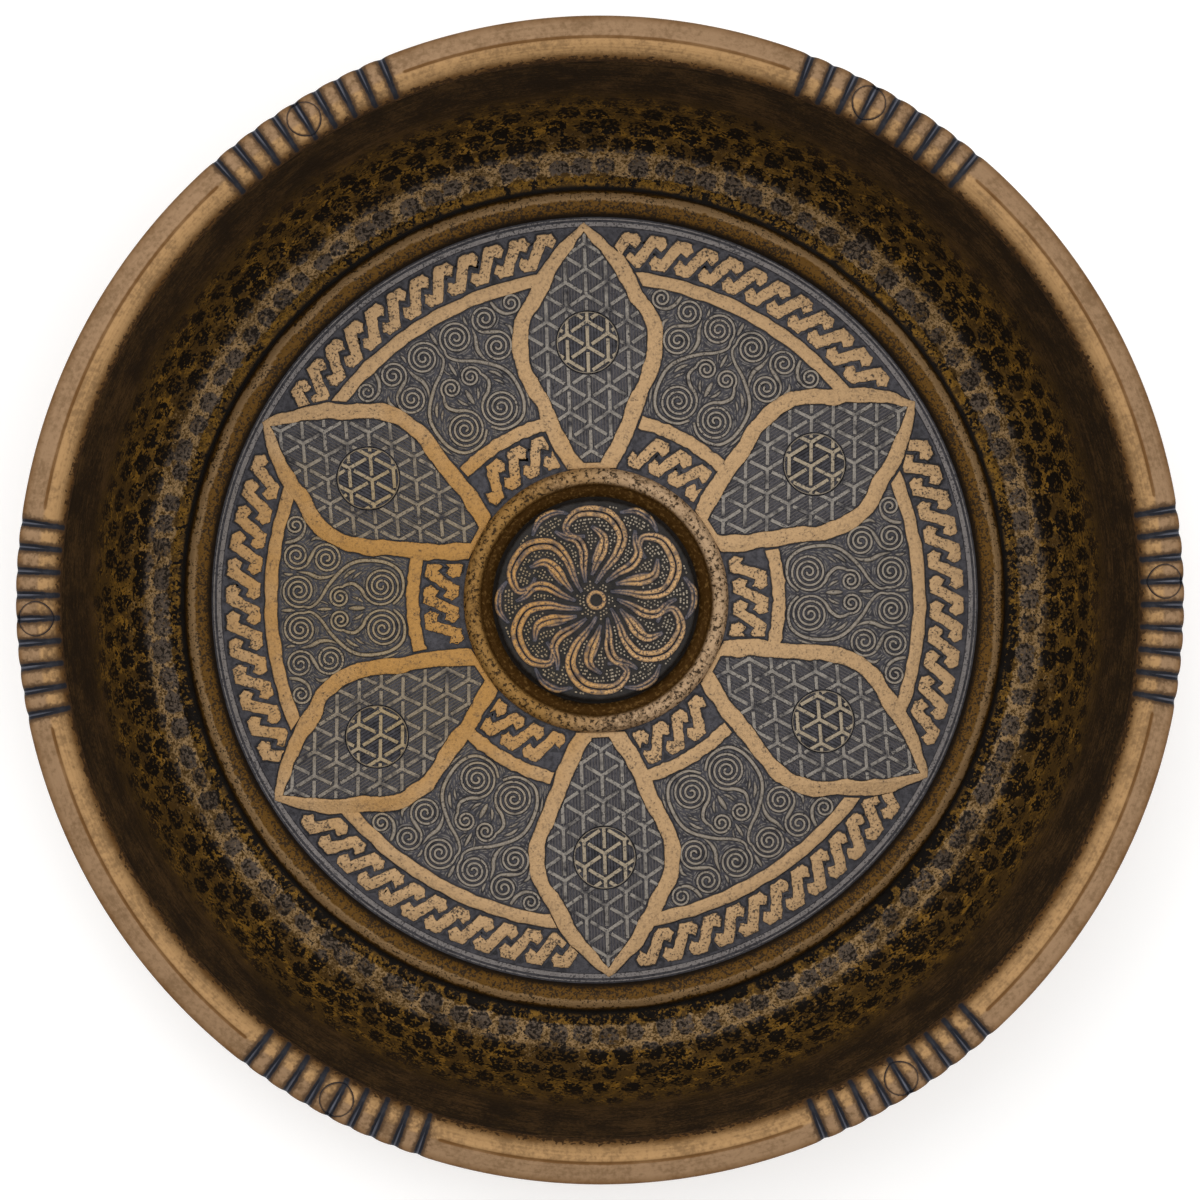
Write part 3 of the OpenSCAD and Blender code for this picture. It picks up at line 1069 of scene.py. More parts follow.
@dataclass(frozen=True)
class CollarBrass:
    """Speckled tan lip with a brown bore that darkens towards its foot as painted shade."""

    bore_r: float
    tan: Colour = (172, 143, 111)
    ochre: Colour = (142, 106, 56)
    brown: Colour = (68, 43, 10)
    black: Colour = (22, 14, 6)
    warm_side: Point = (-14 * MM, 10 * MM)
    bore_shade_span: Point = (1.8 * MM, 3.4 * MM)
    lip_from: float = 0.1 * MM
    lip_to: float = 0.7 * MM
    patches: tuple[Patch, ...] = ((8 * MM, 3), (0.75 * MM, 3), (0.5 * MM, 2))
    metallic: float = 0.3
    relief_h: float = 0.2 * MM
    gloss: float = 0.15

    def material(self) -> Material:
        """Mixes the finish from the lip to the bore.

        Returns:
            The material.
        """
        paint = Paint("collar_brass")
        broad, grain, specks = paint.clouds(*self.patches)
        side = (paint.axis("X") + (broad - 0.5) * (20 * MM)).falling(*self.warm_side)
        lip = paint.blend(side, self.tan, self.ochre)
        lip = paint.blend((grain * 0.6 + broad * 0.4).rising(0.46, 0.6) * 0.6, lip, self.brown)
        stipple = (specks - 0.5) * 5 + (grain - 0.5) * 4
        lip = paint.blend(stipple.rising(0.15, 0.7) * 0.85, lip, self.black)
        # Painted shade: the bore darkens towards its foot.
        depth = paint.axis("Z") + (broad - 0.5) * (3 * MM)
        bore = paint.blend(depth.falling(*self.bore_shade_span), self.brown, self.black)
        bore = paint.blend(grain.rising(0.5, 0.7) * 0.5, bore, self.ochre)
        inner = paint.radius() + (broad - 0.5) * (0.6 * MM)
        inner = inner.falling(self.bore_r + self.lip_from, self.bore_r + self.lip_to)
        colour = paint.blend(inner, lip, bore)
        relief = specks * 0.5 + grain * 0.5
        return paint.done(colour, 0.5 + grain * 0.25, self.metallic, relief, self.relief_h, self.gloss)


# Pieces


def rivet_stem(
    head_r: float, seat: float, shank_r: float, tail_r: float, tail_h: float, foot: float
) -> list[Point]:
    """Draws a rivet's section below its head, from the head's edge to the axis, as radius and height."""
    radii = (head_r, shank_r, shank_r, tail_r, shank_r, 0.0)
    return list(zip(radii, (seat, seat, foot + tail_h, foot + tail_h, foot, foot)))


@dataclass(frozen=True)
class HammerRow:
    """A row of hammer marks: its way up the wall, half the marks' height, and the force of the blows."""

    place: float
    half_h: float
    force: float


@dataclass
class HammeredBowl:
    """The raised sheet bowl with rows of hammer marks."""

    frame: BowlFrame
    wall_spread: float = 16.4 * MM
    wall_lean: float = 11
    heel_slope: float = 38
    heel_r: float = 4 * MM
    bend_r: float = 0.6 * MM
    foot_inset: float = 10.2 * MM
    foot_sole_w: float = 4 * MM
    foot_h: float = 1.5 * MM
    foot_side: float = 60
    hold_r: float = 14 * MM
    steps_round: int = 880
    wall_steps: int = 13
    heel_steps: int = 2
    upper_steps: tuple[int, int] = (7, 3)
    bend_steps: int = 5
    rows: tuple[HammerRow, ...] = (
        HammerRow(1.2 * MM, 1.75 * MM, 0.8),
        HammerRow(4.8 * MM, 2.3 * MM, 0.9),
        HammerRow(9.9 * MM, 2.7 * MM, 1.0),
        HammerRow(15.2 * MM, 2.8 * MM, 0.9),
        HammerRow(21.2 * MM, 3.1 * MM, 0.75),
        HammerRow(27.2 * MM, 3.1 * MM, 0.45),
    )
    marks_in_row: int = 106
    mark_drift: float = 0.09
    row_drift: float = 0.3 * MM
    mark_reach: float = 1.6
    light_blow: float = 0.65
    dent_half_w: float = 2.1 * MM
    dent_square: float = 2.6
    dent_depth: float = 0.45 * MM
    flat_rows: int = 8
    flats_in_row: int = 60
    flat_drift: float = 0.11
    flat_depth: float = 0.4 * MM
    flats_from: Point = (2.5 * MM, 6 * MM)
    flats_to: Point = (40 * MM, 43 * MM)

    def __post_init__(self) -> None:
        """Works out the wall from the sizes."""
        f = self.frame
        self.sheet = f.flange_top - f.flange_under
        self.floor_r = f.mouth_r - self.wall_spread
        self.slope = 90 - self.wall_lean
        bend = self.bend_r + self.sheet
        high = math.radians(self.slope)
        low = math.radians(self.heel_slope)
        self.bend_c = (f.mouth_r + bend * math.sin(high), f.flange_top - bend)
        self.heel_c = (self.floor_r, f.floor_z + self.heel_r)
        wall_top = (f.mouth_r, self.bend_c[1] + bend * math.cos(high))
        heel_x = self.heel_c[0] + self.heel_r * math.sin(low)
        heel_z = self.heel_c[1] - self.heel_r * math.cos(low)
        run = wall_top[0] - heel_x
        rise = wall_top[1] - heel_z
        arc_run = math.sin(high) - math.sin(low)
        arc_rise = math.cos(low) - math.cos(high)
        self.arc_r = (math.sin(high) * run - math.cos(high) * rise) / (
            math.sin(high) * arc_run - math.cos(high) * arc_rise
        )
        self.arc_c = (heel_x - self.arc_r * math.sin(low), heel_z + self.arc_r * math.cos(low))

    def side(self, depth: float, fine: int) -> list[Point]:
        """Draws one side of the sheet from the axis to the flange's edge.

        Args:
            depth: Depth below the inner face.
            fine: Factor on the number of points along the wall.

        Returns:
            The points as radius and height.
        """
        f = self.frame
        hold_ball = (self.hold_r**2 + f.hold_h**2) / (2 * f.hold_h)
        hold_c = (0.0, f.floor_z + f.hold_h - hold_ball)
        base_z = f.floor_z - depth
        hold_end = math.degrees(math.asin((base_z - hold_c[1]) / (hold_ball - depth)))
        foot_r = self.floor_r - self.foot_inset
        sole = self.foot_sole_w / 2 - (self.sheet - depth) * math.tan(math.radians(self.foot_side / 2))
        spread = self.foot_h / math.tan(math.radians(self.foot_side))
        sole_z = self.sheet - depth
        lower, upper = self.upper_steps
        steps = self.wall_steps * fine
        wall = arc(self.arc_c, self.arc_r + depth, self.heel_slope - 90, self.slope - 90, steps)
        bend = arc(self.bend_c, self.bend_r + self.sheet - depth, 90 + self.slope, 90, self.bend_steps)
        half = tuple((a + b) / 2 for a, b in zip(wall[-1], bend[0]))
        return [
            *arc(hold_c, hold_ball - depth, 90, hold_end, self.bend_steps),
            (foot_r - sole - spread, base_z),
            (foot_r - sole, sole_z),
            (foot_r + sole, sole_z),
            (foot_r + sole + spread, base_z),
            *arc(self.heel_c, self.heel_r + depth, -90, self.heel_slope - 90, self.heel_steps * fine),
            *wall[1:],
            *straight(wall[-1], half, lower * fine),
            half,
            *straight(half, bend[0], upper * fine),
            *bend,
            (f.flange_r, f.flange_top - depth),
        ]

    def build(self) -> None:
        """Makes the bowl, strikes its hammer marks and dresses it."""
        inner = self.side(0, 2)
        profile = np.array(inner + self.side(self.sheet, 1)[::-1])
        piece = revolve("bowl_hammered", [tuple(p) for p in profile], self.steps_round)
        points = points_of(piece)
        radius, angle = polar(points)
        gaps = (radius[:, None] - profile[:, 0]) ** 2 + (points[:, 2][:, None] - profile[:, 1]) ** 2
        index = gaps.argmin(axis=1)
        inside = index < len(inner)
        along = unit(np.gradient(profile, axis=0))[index]
        lengths = np.r_[0, np.cumsum(np.linalg.norm(np.diff(profile, axis=0), axis=1))]
        from_heel = profile[:len(inner)] - (self.floor_r, self.frame.floor_z)
        heel = int(np.argmin(np.hypot(*from_heel.T)))
        run = np.where(inside, lengths[index] - lengths[heel], -1)
        dent, tone = self.hammer_marks(angle, run, radius)
        flats = self.planishing(angle, points[:, 2]) * ~inside
        sink = dent * self.dent_depth + flats * self.flat_depth
        moved = radius + sink * along[:, 1]
        points[:, 0] = moved * np.cos(angle)
        points[:, 1] = moved * np.sin(angle)
        points[:, 2] -= sink * along[:, 0]
        move_points(piece, points)
        mark_points(piece, dent=dent + flats, tone=tone, climb=run, inside=inside)
        finish = HammeredPatina(self.floor_r)
        hand_over(piece, finish.material(), Slot.HAMMERED, "bowl_shell", sharp=60)

    def hammer_marks(self, angle: Array, run: Array, radius: Array) -> tuple[Array, Array]:
        """Works out how deep the marks on the inside are at each point.

        Args:
            angle: Angle of each point round the bowl.
            run: Way of each point up the wall from the floor.
            radius: Distance of each point from the axis.

        Returns:
            The depth from 0 to 1, and a random tone per mark.
        """
        draw = np.random.default_rng(11)
        depth = np.zeros(len(angle))
        tone = np.full(len(angle), 0.5)
        count = self.marks_in_row
        pitch = math.tau / count
        for number, row in enumerate(self.rows):
            offset = 0.5 * (number % 2)
            shift = draw.normal(0, self.mark_drift, count) + offset
            lift = draw.normal(0, self.row_drift, count) + row.place
            half_w = self.dent_half_w * draw.normal(1, self.mark_drift, count)
            half_h = row.half_h * draw.normal(1, self.mark_drift, count)
            force = row.force * draw.uniform(self.light_blow, 1, count)
            tones = draw.uniform(0, 1, count)
            near = np.flatnonzero(np.abs(run - row.place) < self.mark_reach * row.half_h)
            first = np.rint(angle[near] / pitch - offset).astype(int)
            for step in (-1, 0, 1):
                mark = (first + step) % count
                across = (angle[near] / pitch - (first + step) - shift[mark]) * pitch
                across = across * radius[near] / half_w[mark]
                up = (run[near] - lift[mark]) / half_h[mark]
                away = np.abs(across) ** self.dent_square + np.abs(up) ** self.dent_square
                here = force[mark] * np.clip(1 - away ** (2 / self.dent_square), 0, 1)
                deeper = here > depth[near]
                depth[near] = np.where(deeper, here, depth[near])
                tone[near] = np.where(deeper, tones[mark], tone[near])
        return depth * (run > 0), tone

    def planishing(self, angle: Array, height: Array) -> Array:
        """Works out how deep the broad flats on the outside are at each point.

        Args:
            angle: Angle of each point round the bowl.
            height: Height of each point.

        Returns:
            The depth from 0 to 1.
        """
        rows = (height - self.foot_h) / (self.frame.flange_under - self.foot_h) * self.flat_rows
        row = np.floor(rows)
        around = angle / math.tau * self.flats_in_row + 0.5 * (row % 2)
        around = around + self.flat_drift * np.sin(3 * row + 5 * angle)
        across = np.abs((around % 1) - 0.5) * 2
        up = np.abs(rows - row - 0.5) * 2
        edge = np.clip(1 - np.maximum(across, up) ** 3, 0, 1)
        return edge * (rising(height, *self.flats_from) * (1 - rising(height, *self.flats_to)))


@dataclass
class RimHoop:
    """The filed and chased brass hoop and the flush heads of its rivets."""

    frame: BowlFrame
    shoulder_r: float = 3.5 * MM
    bevel: float = 1.2 * MM
    edge_r: float = 0.6 * MM
    skirt: float = 1.3 * MM
    chamfer: float = 1 * MM
    notch_count: int = 9
    notch_pitch: float = math.radians(2.38)
    notch_shift: tuple[int, ...] = (-1, -1, 0, 0, 0, 0)
    notch_depth: float = 1.3 * MM
    valley_w: Point = (0.36, 0.2)
    pillow_w: float = 1.25
    reach_from: float = 0.2 * MM
    reach_to: float = 2.2 * MM
    line_gap: float = math.radians(1.6)
    line_end: float = 0.004
    line_half_w: float = 0.4 * MM
    line_depth: float = 0.22 * MM
    line_points: tuple[float, ...] = (0.45 * MM, 0.3 * MM, 0.15 * MM)
    line_slope: float = 0.36
    filed_from: float = 3.6 * MM
    filed_to: float = 2.2 * MM
    steps_round: int = 1920
    head_seat: float = 3.1 * MM
    shank_r: float = 1.3 * MM
    tail_r: float = 1.9 * MM
    tail_h: float = 0.9 * MM
    head_gap: float = 0.35 * MM
    head_soft: float = 0.18 * MM
    head_round: float = 0.05 * MM
    head_from: float = 0.5 * MM
    head_to: float = 0.3 * MM
    joint_w: float = 0.3 * MM
    head_rings: int = 13
    head_steps: int = 64

    def __post_init__(self) -> None:
        """Works out the radii of the section."""
        self.mouth_r = self.frame.mouth_r
        self.crest_r = self.mouth_r + self.shoulder_r

    def section(self) -> list[Point]:
        """Draws the closed section, from the rebate round the outside to the mouth.

        Returns:
            The points as radius and height.
        """
        f = self.frame
        inner_skirt = f.rim_r - self.skirt
        shoulder_c = (self.crest_r, f.rim_top - self.shoulder_r)
        edge_c = (f.rim_r - self.edge_r, f.rim_top - self.bevel - self.edge_r)
        bevel_top = (self.crest_r, f.rim_top)
        bevel_foot = (edge_c[0], edge_c[1] + self.edge_r)
        line = [(self.crest_r + w, f.rim_top - w * self.line_slope) for w in self.line_points]
        return [
            (inner_skirt, f.flange_top),
            (inner_skirt, f.flange_under),
            (f.rim_r, f.flange_under),
            *straight((f.rim_r, f.flange_under), (f.rim_r, edge_c[1]), 4),
            *arc(edge_c, self.edge_r, 0, 90, 4),
            *straight(bevel_foot, line[0], 6),
            *line,
            bevel_top,
            *arc(shoulder_c, self.shoulder_r, 92.5, 95, 1),
            *arc(shoulder_c, self.shoulder_r, 101, 180, 11),
            (self.mouth_r, f.flange_top + self.chamfer),
            (self.mouth_r + self.chamfer, f.flange_top),
            (inner_skirt, f.flange_top),
        ]

    def notch_angles(self) -> Array:
        """Returns the angles of all the notches."""
        places = np.arange(self.notch_count) - (self.notch_count - 1) / 2
        groups = [k * FOLD + (places + s) * self.notch_pitch for k, s in enumerate(self.notch_shift)]
        return np.concatenate(groups)

    def filed(self, angle: Array, radius: Array) -> tuple[Array, Array]:
        """Works out how deep the file went at each point, and how much painted shade the notch's rounded
        sides and valley get.

        Args:
            angle: Angle of each point round the bowl.
            radius: Distance of each point from the axis.

        Returns:
            The depth, and the painted shade, from 0 to 1.
        """
        away = np.full(len(angle), 1.0)
        for notch in self.notch_angles():
            away = np.minimum(away, apart(angle, notch))
        across = away * self.crest_r / MM
        outward = rising(radius, self.mouth_r + self.reach_from, self.crest_r + self.reach_to)
        reach = 0.45 + 0.55 * outward
        valley = np.exp(-((across / (self.valley_w[0] + self.valley_w[1] * reach)) ** 2))
        pillow = np.exp(-((across / self.pillow_w) ** 2))
        depth = (0.6 * valley + 0.4 * pillow) * reach
        return depth, 0.68 * valley * (0.5 + 0.5 * reach) + 0.46 * pillow

    def chased(self, angle: Array, radius: Array) -> Array:
        """Works out how deep the chased line is at each point.

        Args:
            angle: Angle of each point round the bowl.
            radius: Distance of each point from the axis.

        Returns:
            The depth from 0 to 1.
        """
        reach = (self.notch_count - 1) / 2 * self.notch_pitch + self.line_gap
        on_line = np.ones(len(angle))
        for k, shift in enumerate(self.notch_shift):
            gap = apart(angle, k * FOLD + shift * self.notch_pitch)
            on_line *= rising(gap, reach - self.line_end, reach + self.line_end)
        return on_line * np.clip(1 - np.abs(radius - self.crest_r) / self.line_half_w, 0, 1)

    def build(self) -> None:
        """Makes the hoop, files and chases it, and sets the rivets."""
        f = self.frame
        material = FiledBrass(self.mouth_r, self.crest_r, f.rim_r).material()
        piece = revolve("rim_hoop_filed", self.section(), self.steps_round)
        points = points_of(piece)
        radius, angle = polar(points)
        top = rising(points[:, 2], f.rim_top - self.filed_from, f.rim_top - self.filed_to)
        depth, dark = self.filed(angle, radius)
        chase = self.chased(angle, radius) * top
        sunk = top * (depth * self.notch_depth + self.under_heads(points))
        points[:, 2] -= sunk + chase * self.line_depth
        move_points(piece, points)
        mark_points(piece, notch=dark * top, chase=chase)
        hand_over(piece, material, Slot.RIM, "rim_hoop", sharp=50)
        model = self.rivet()
        for k in range(FOLDS):
            self.set_rivet(model, k, material)
        bpy.data.objects.remove(model)

    def under_heads(self, points: Array) -> Array:
        """Works out how far the hoop is sunk under the rivets' heads.

        Args:
            points: The hoop's points.

        Returns:
            The depths.
        """
        away = np.full(len(points), 1.0)
        for k in range(FOLDS):
            middle = turned(np.array([[self.frame.rivet_circle_r, 0]]), k * FOLD)
            away = np.minimum(away, np.hypot(*(points[:, :2] - middle).T))
        return self.head_gap * (1 - rising(away, self.frame.rivet_r, self.frame.rivet_r + self.head_gap))

    def rivet(self) -> Piece:
        """Turns one rivet, upright at the origin.

        Returns:
            The rivet.
        """
        f = self.frame
        top = f.rim_top
        soft = self.head_soft
        rings = np.linspace(0, f.rivet_r - soft, self.head_rings)
        seat = top - self.head_seat
        stem = rivet_stem(f.rivet_r, seat, self.shank_r, self.tail_r, self.tail_h, f.rivet_foot)
        return revolve("rivet_model", [
            *[(float(r), top) for r in rings],
            (f.rivet_r - self.head_round, top - self.head_round),
            (f.rivet_r, top - soft),
            (f.rivet_r, top - 2 * soft),
            *stem,
        ], self.head_steps)

    def surface(self, radius: Array) -> Array:
        """Works out the height of the plain hoop at each distance from the axis.

        Args:
            radius: Distances from the axis.

        Returns:
            The heights.
        """
        f = self.frame
        inward = np.clip(self.crest_r - radius, 0, self.shoulder_r)
        shoulder = f.rim_top - self.shoulder_r + np.sqrt(self.shoulder_r**2 - inward**2)
        outward = np.clip(radius - self.crest_r, 0, None)
        return shoulder - outward * self.bevel / (f.rim_r - self.edge_r - self.crest_r)

    def set_rivet(self, model: Piece, k: int, material: Material) -> None:
        """Copies the rivet to its place and files its head with the hoop.

        Args:
            model: The turned rivet.
            k: Number of the place.
            material: Finish of the rivet.
        """
        f = self.frame
        piece = copy_of(model, f"rim_rivet_head_{k + 1}")
        points = points_of(piece)
        on_head = rising(points[:, 2], f.rim_top - self.head_from, f.rim_top - self.head_to)
        ring = rising(polar(points)[0], f.rivet_r - self.joint_w, f.rivet_r - self.head_round)
        points[:, 0] += f.rivet_circle_r
        points[:, :2] = turned(points[:, :2], k * FOLD)
        radius, angle = polar(points)
        depth, dark = self.filed(angle, radius)
        points[:, 2] += on_head * (self.surface(radius) - f.rim_top - depth * self.notch_depth)
        move_points(piece, points)
        mark_points(piece, notch=np.maximum(dark * on_head, 0.9 * ring), chase=np.zeros(len(points)))
        hand_over(piece, material, Slot.RIM, f"rim_rivet_{k + 1}", sharp=50)


@dataclass
class Petal:
    """Outline of the pointed petals that divide the floor plate: two ogees on each side."""

    tip_r: float
    wide_r: float
    base_r: float
    half_w: float = 14 * MM
    band_w: float = 2.9 * MM
    upper_flank: Point = (0.72, 0.46)
    lower_flank: Point = (0.71, 0.52)
    base_width: float = 0.32
    tip_lean: float = 1.35
    upper_lean: float = 0.37
    lower_lean: float = 0.35
    base_lean: float = 0.65
    curve_reach: float = 0.17
    shoulder: float = 1.5
    tip_share: float = 0.62
    base_share: float = 0.4
    curve_steps: int = 24
    search_steps: int = 600

    def side(self, grow: float) -> Array:
        """Draws half of the outline from tip to base, as half width and distance from the middle.

        Args:
            grow: Distance that the outline is grown, or shrunk if less than 0.

        Returns:
            The points of the right half.
        """
        tip = np.array([0, self.tip_r + self.tip_share * grow])
        wide = np.array([self.half_w + grow, self.wide_r])
        base = np.array([self.base_width * self.half_w + grow, self.base_r - self.base_share * grow])
        tip_len = tip[1] - wide[1]
        base_len = wide[1] - base[1]
        upper = np.array([self.upper_flank[0] * self.half_w + grow, wide[1] + self.upper_flank[1] * tip_len])
        lower = np.array([self.lower_flank[0] * self.half_w + grow, wide[1] - self.lower_flank[1] * base_len])
        out = self.curve_reach * tip_len
        back = self.curve_reach * base_len
        off_tip = tip + (self.tip_lean * out + self.tip_share * grow, -out)
        up = out * np.array([self.upper_lean, -1])
        down = back * np.array([self.lower_lean, 1])
        off_base = base + back * np.array([self.base_lean, 1])
        curves = [
            cubic([tip, off_tip, upper - up, upper], self.curve_steps),
            cubic([upper, upper + up, wide + (0, self.shoulder * out), wide], self.curve_steps),
            cubic([wide, wide - (0, self.shoulder * back), lower + down, lower], self.curve_steps),
            cubic([lower, lower - down, off_base, base], self.curve_steps),
        ]
        return np.vstack([curves[0], *(curve[1:] for curve in curves[1:])])

    def outline(self, grow: float) -> Array:
        """Draws the closed outline of a petal that points along +Y, to the right from the tip."""
        side = self.side(grow)
        return np.vstack([side, side[:0:-1] * (-1, 1)])

    def half_width(self, along: Array, grow: float) -> Array:
        """Works out half the width at distances from the middle, less than 0 beyond the ends."""
        side = self.side(grow)[::-1]
        return np.interp(along, side[:, 1], side[:, 0], left=-1, right=-1)

    def crossing(self, radius: float, grow: float) -> float:
        """Finds where a circle round the middle leaves the petal.

        Args:
            radius: Radius of the circle.
            grow: Distance that the outline is grown.

        Returns:
            The angle from the petal's axis.
        """
        angles = np.linspace(0, FOLD / 2, self.search_steps)
        inside = radius * np.sin(angles) < self.half_width(radius * np.cos(angles), grow)
        return float(angles[inside].max())


@dataclass
class FloorPlate:
    """The chased plate on the floor: ground, bands, frets, scrolls, lattice and rivets."""

    frame: BowlFrame
    border_w: float = 1.7 * MM
    band_gap: float = 0.6 * MM
    band_shake: float = 0.1 * MM
    band_edge: float = 0.22 * MM
    bar_w: float = 2.4 * MM
    bar_joined: float = 0.7 * MM
    bar_parted: float = 0.45 * MM
    bar_shake: float = 0.07 * MM
    bar_steps: int = 40
    outer_fret_h: float = 6.6 * MM
    inner_fret_h: float = 6.8 * MM
    outer_fret_pitch: float = 4.8 * MM
    inner_fret_pitch: float = 4.4 * MM
    outer_fret_span: tuple[int, int] = (-5, 7)
    inner_fret_span: tuple[int, int] = (-2, 2)
    outer_fret_shift: float = 0.25
    fret_inset: float = 0.12 * MM
    fret_shake: float = 0.06 * MM
    stroke_corners: tuple[Point, ...] = (
        (-0.103, 1), (0.375, -0.26), (0.625, -0.067), (0.833, -0.564), (0.66, -0.99),
    )
    stroke_steps: int = 6
    band_drop: float = 0.02 * MM
    bar_drop: float = 0.03 * MM
    fret_drop: float = 0.04 * MM
    # Heights and width of the dark strips of painted shade round the petals, bars and frets.
    petal_shade_h: float = 0.02 * MM
    bar_shade_h: float = 0.03 * MM
    fret_shade_h: float = 0.01 * MM
    chased_w: float = 0.28 * MM
    sunk: float = 0.3 * MM
    wide_past: float = 0.3 * MM
    lattice_columns: int = 4
    lattice_rows: int = 7
    lattice_step: float = 4.8 * MM
    lattice_column: float = 3.75 * MM
    lattice_shift: float = 0.8 * MM
    lattice_h: float = 0.32 * MM
    lattice_edge: float = 0.1 * MM
    lattice_gap: float = 0.15 * MM
    arm_half_w: float = 0.33 * MM
    arm_reach: float = 0.8
    arm_fillet: float = 1.15
    stud_room: float = 0.05 * MM
    stud_proud: float = 0.03 * MM
    stud_soft: float = 0.16 * MM
    stud_shank_r: float = 1.8 * MM
    stud_tail_r: float = 3 * MM
    stud_tail_h: float = 0.9 * MM
    stud_steps: int = 96
    comb_pitch: float = 0.56 * MM
    comb_half_w: float = 0.13 * MM
    comb_gap: float = 0.25 * MM
    comb_inset: float = 0.3 * MM
    comb_steps: int = 1500
    comb_shortest: int = 30
    steps_round: int = 360

    def __post_init__(self) -> None:
        """Works out the radii of the pattern and mixes the finishes."""
        f = self.frame
        self.ring_in_r = f.plate_r - 2 * f.ring_r
        self.border_out_r = self.ring_in_r - f.seat_fit
        self.outer_fret_r = self.border_out_r - self.border_w - self.band_gap - self.outer_fret_h / 2
        self.outer_bar_r = self.outer_fret_r - self.outer_fret_h / 2 - self.band_gap - self.bar_w / 2
        self.inner_fret_r = f.collar_r + f.seat_fit + self.band_gap + self.inner_fret_h / 2
        self.inner_bar_r = self.inner_fret_r + self.inner_fret_h / 2 + self.band_gap + self.bar_w / 2
        tip_r = self.border_out_r - self.border_w / 2
        self.petal = Petal(tip_r, f.stud_circle_r + self.wide_past, f.collar_r - f.seat_fit)
        self.draw = np.random.default_rng(23)
        self.finishes = self.mix_finishes()

    def mix_finishes(self) -> dict[str, Material]:
        """Mixes the finishes of the plate's pieces.

        Returns:
            The finishes by name.
        """
        # The raised pieces' darker deep and ground colours paint shade on the dark strips along their feet.
        raised = {
            "crest": (176, 143, 103), "crest_warm": (164, 121, 62), "crest_from": 0.14 * MM,
            "crest_to": 0.3 * MM, "deep": (20, 19, 22), "ground": (44, 42, 45),
        }
        hatched = {"crest_from": -0.05 * MM, "crest_to": 0.07 * MM}
        looks = {
            "plate_ground": {},
            "plate_border": {"crest": (132, 125, 121), "crest_warm": (124, 113, 99), "pits": 0.27},
            "plate_bands": {"pits": 0.14, **raised},
            "plate_frets": {"pits": 0.24, **raised},
            "petal_combing": {
                "crest": (110, 105, 104), "crest_warm": (110, 102, 92), "wear": 0.8, **hatched,
            },
            "plate_lattice": {"crest": (138, 131, 122), "crest_warm": (136, 122, 101), "wear": 0.58},
            "plate_rivet_brass": {"crest": (156, 142, 120), "crest_warm": (150, 130, 96), "wear": 0.7},
            "plate_scrolls": {"crest": (140, 130, 117), "crest_warm": (142, 125, 98), "wear": 0.68},
            "plate_combing": {
                "crest": (134, 128, 123), "crest_warm": (128, 118, 104), "wear": 0.9, **hatched,
            },
        }
        top = self.frame.plate_top
        return {name: ChasedPatina(name, top, **look).material() for name, look in looks.items()}

    def build(self) -> None:
        """Makes every piece of the plate and dresses it."""
        self.lay_ground()
        self.lay_border()
        self.lay_bands()
        self.lay_frets()
        self.lay_lattice()
        ScrollPanels(self).build()

    def place(self, piece: Piece, finish: str, sharp: float | None = 35) -> None:
        """Hands over a piece of the plate in one of the plate's finishes."""
        hand_over(piece, self.finishes[finish], Slot.PLATE, "floor_plate", sharp=sharp)

    def lay_ground(self) -> None:
        """Makes the flat plate with its bore and the holes for the rivets' heads."""
        f = self.frame
        bore_r = f.collar_r - f.collar_lip_w + f.seat_fit
        low, high = f.floor_z, f.plate_top
        section = [(bore_r, low), (f.plate_r, low), (f.plate_r, high), (bore_r, high), (bore_r, low)]
        piece = revolve("plate_ground", section, self.steps_round)
        holes = []
        for k in range(FOLDS):
            angle = FIRST_PETAL + k * FOLD
            place = (f.stud_circle_r * math.cos(angle), f.stud_circle_r * math.sin(angle), (low + high) / 2)
            take()
            bpy.ops.mesh.primitive_cylinder_add(
                vertices=self.stud_steps,
                radius=f.stud_r + self.stud_room,
                depth=2 * (high - low),
                location=place,
            )
            holes.append(bpy.context.object)
        cut(piece, join("stud_holes", holes), Kept.OUTSIDE)
        self.place(piece, "plate_ground")

    def lay_border(self) -> None:
        """Makes the low border inside the ring, with two ridges and a groove."""
        z = self.frame.plate_top
        outer = self.border_out_r
        inner = outer - self.border_w
        ridges = ((0, 0.04), (0.1, 0.2), (0.35, 0.2), (0.45, -0.02), (0.65, -0.02), (0.75, 0.22))
        piece = revolve("plate_border", [
            (inner, z - self.sunk),
            (outer, z - self.sunk),
            *[(outer - inset * MM, z + height * MM) for inset, height in ridges],
            (inner + 0.2 * MM, z + 0.22 * MM),
            (inner, z - 0.02 * MM),
            (inner, z - self.sunk),
        ], self.steps_round)
        self.place(piece, "plate_border")

    def bar(self, radius: float) -> Array:
        """Draws a curved bar between the petals either side of +Y.

        Args:
            radius: Radius of its middle line.

        Returns:
            The closed outline, which runs into the right petal's band and stops short of the left one's.
        """
        edges = []
        for edge, way in ((radius + self.bar_w / 2, 1), (radius - self.bar_w / 2, -1)):
            clear = FOLD / 2 - self.petal.crossing(edge, 0)
            ends = (-clear - self.bar_joined / edge, clear - self.bar_parted / edge)
            angles = np.linspace(*ends, self.bar_steps)[::way]
            edges.append(np.c_[np.sin(-angles) * edge, np.cos(angles) * edge])
        return np.vstack(edges)

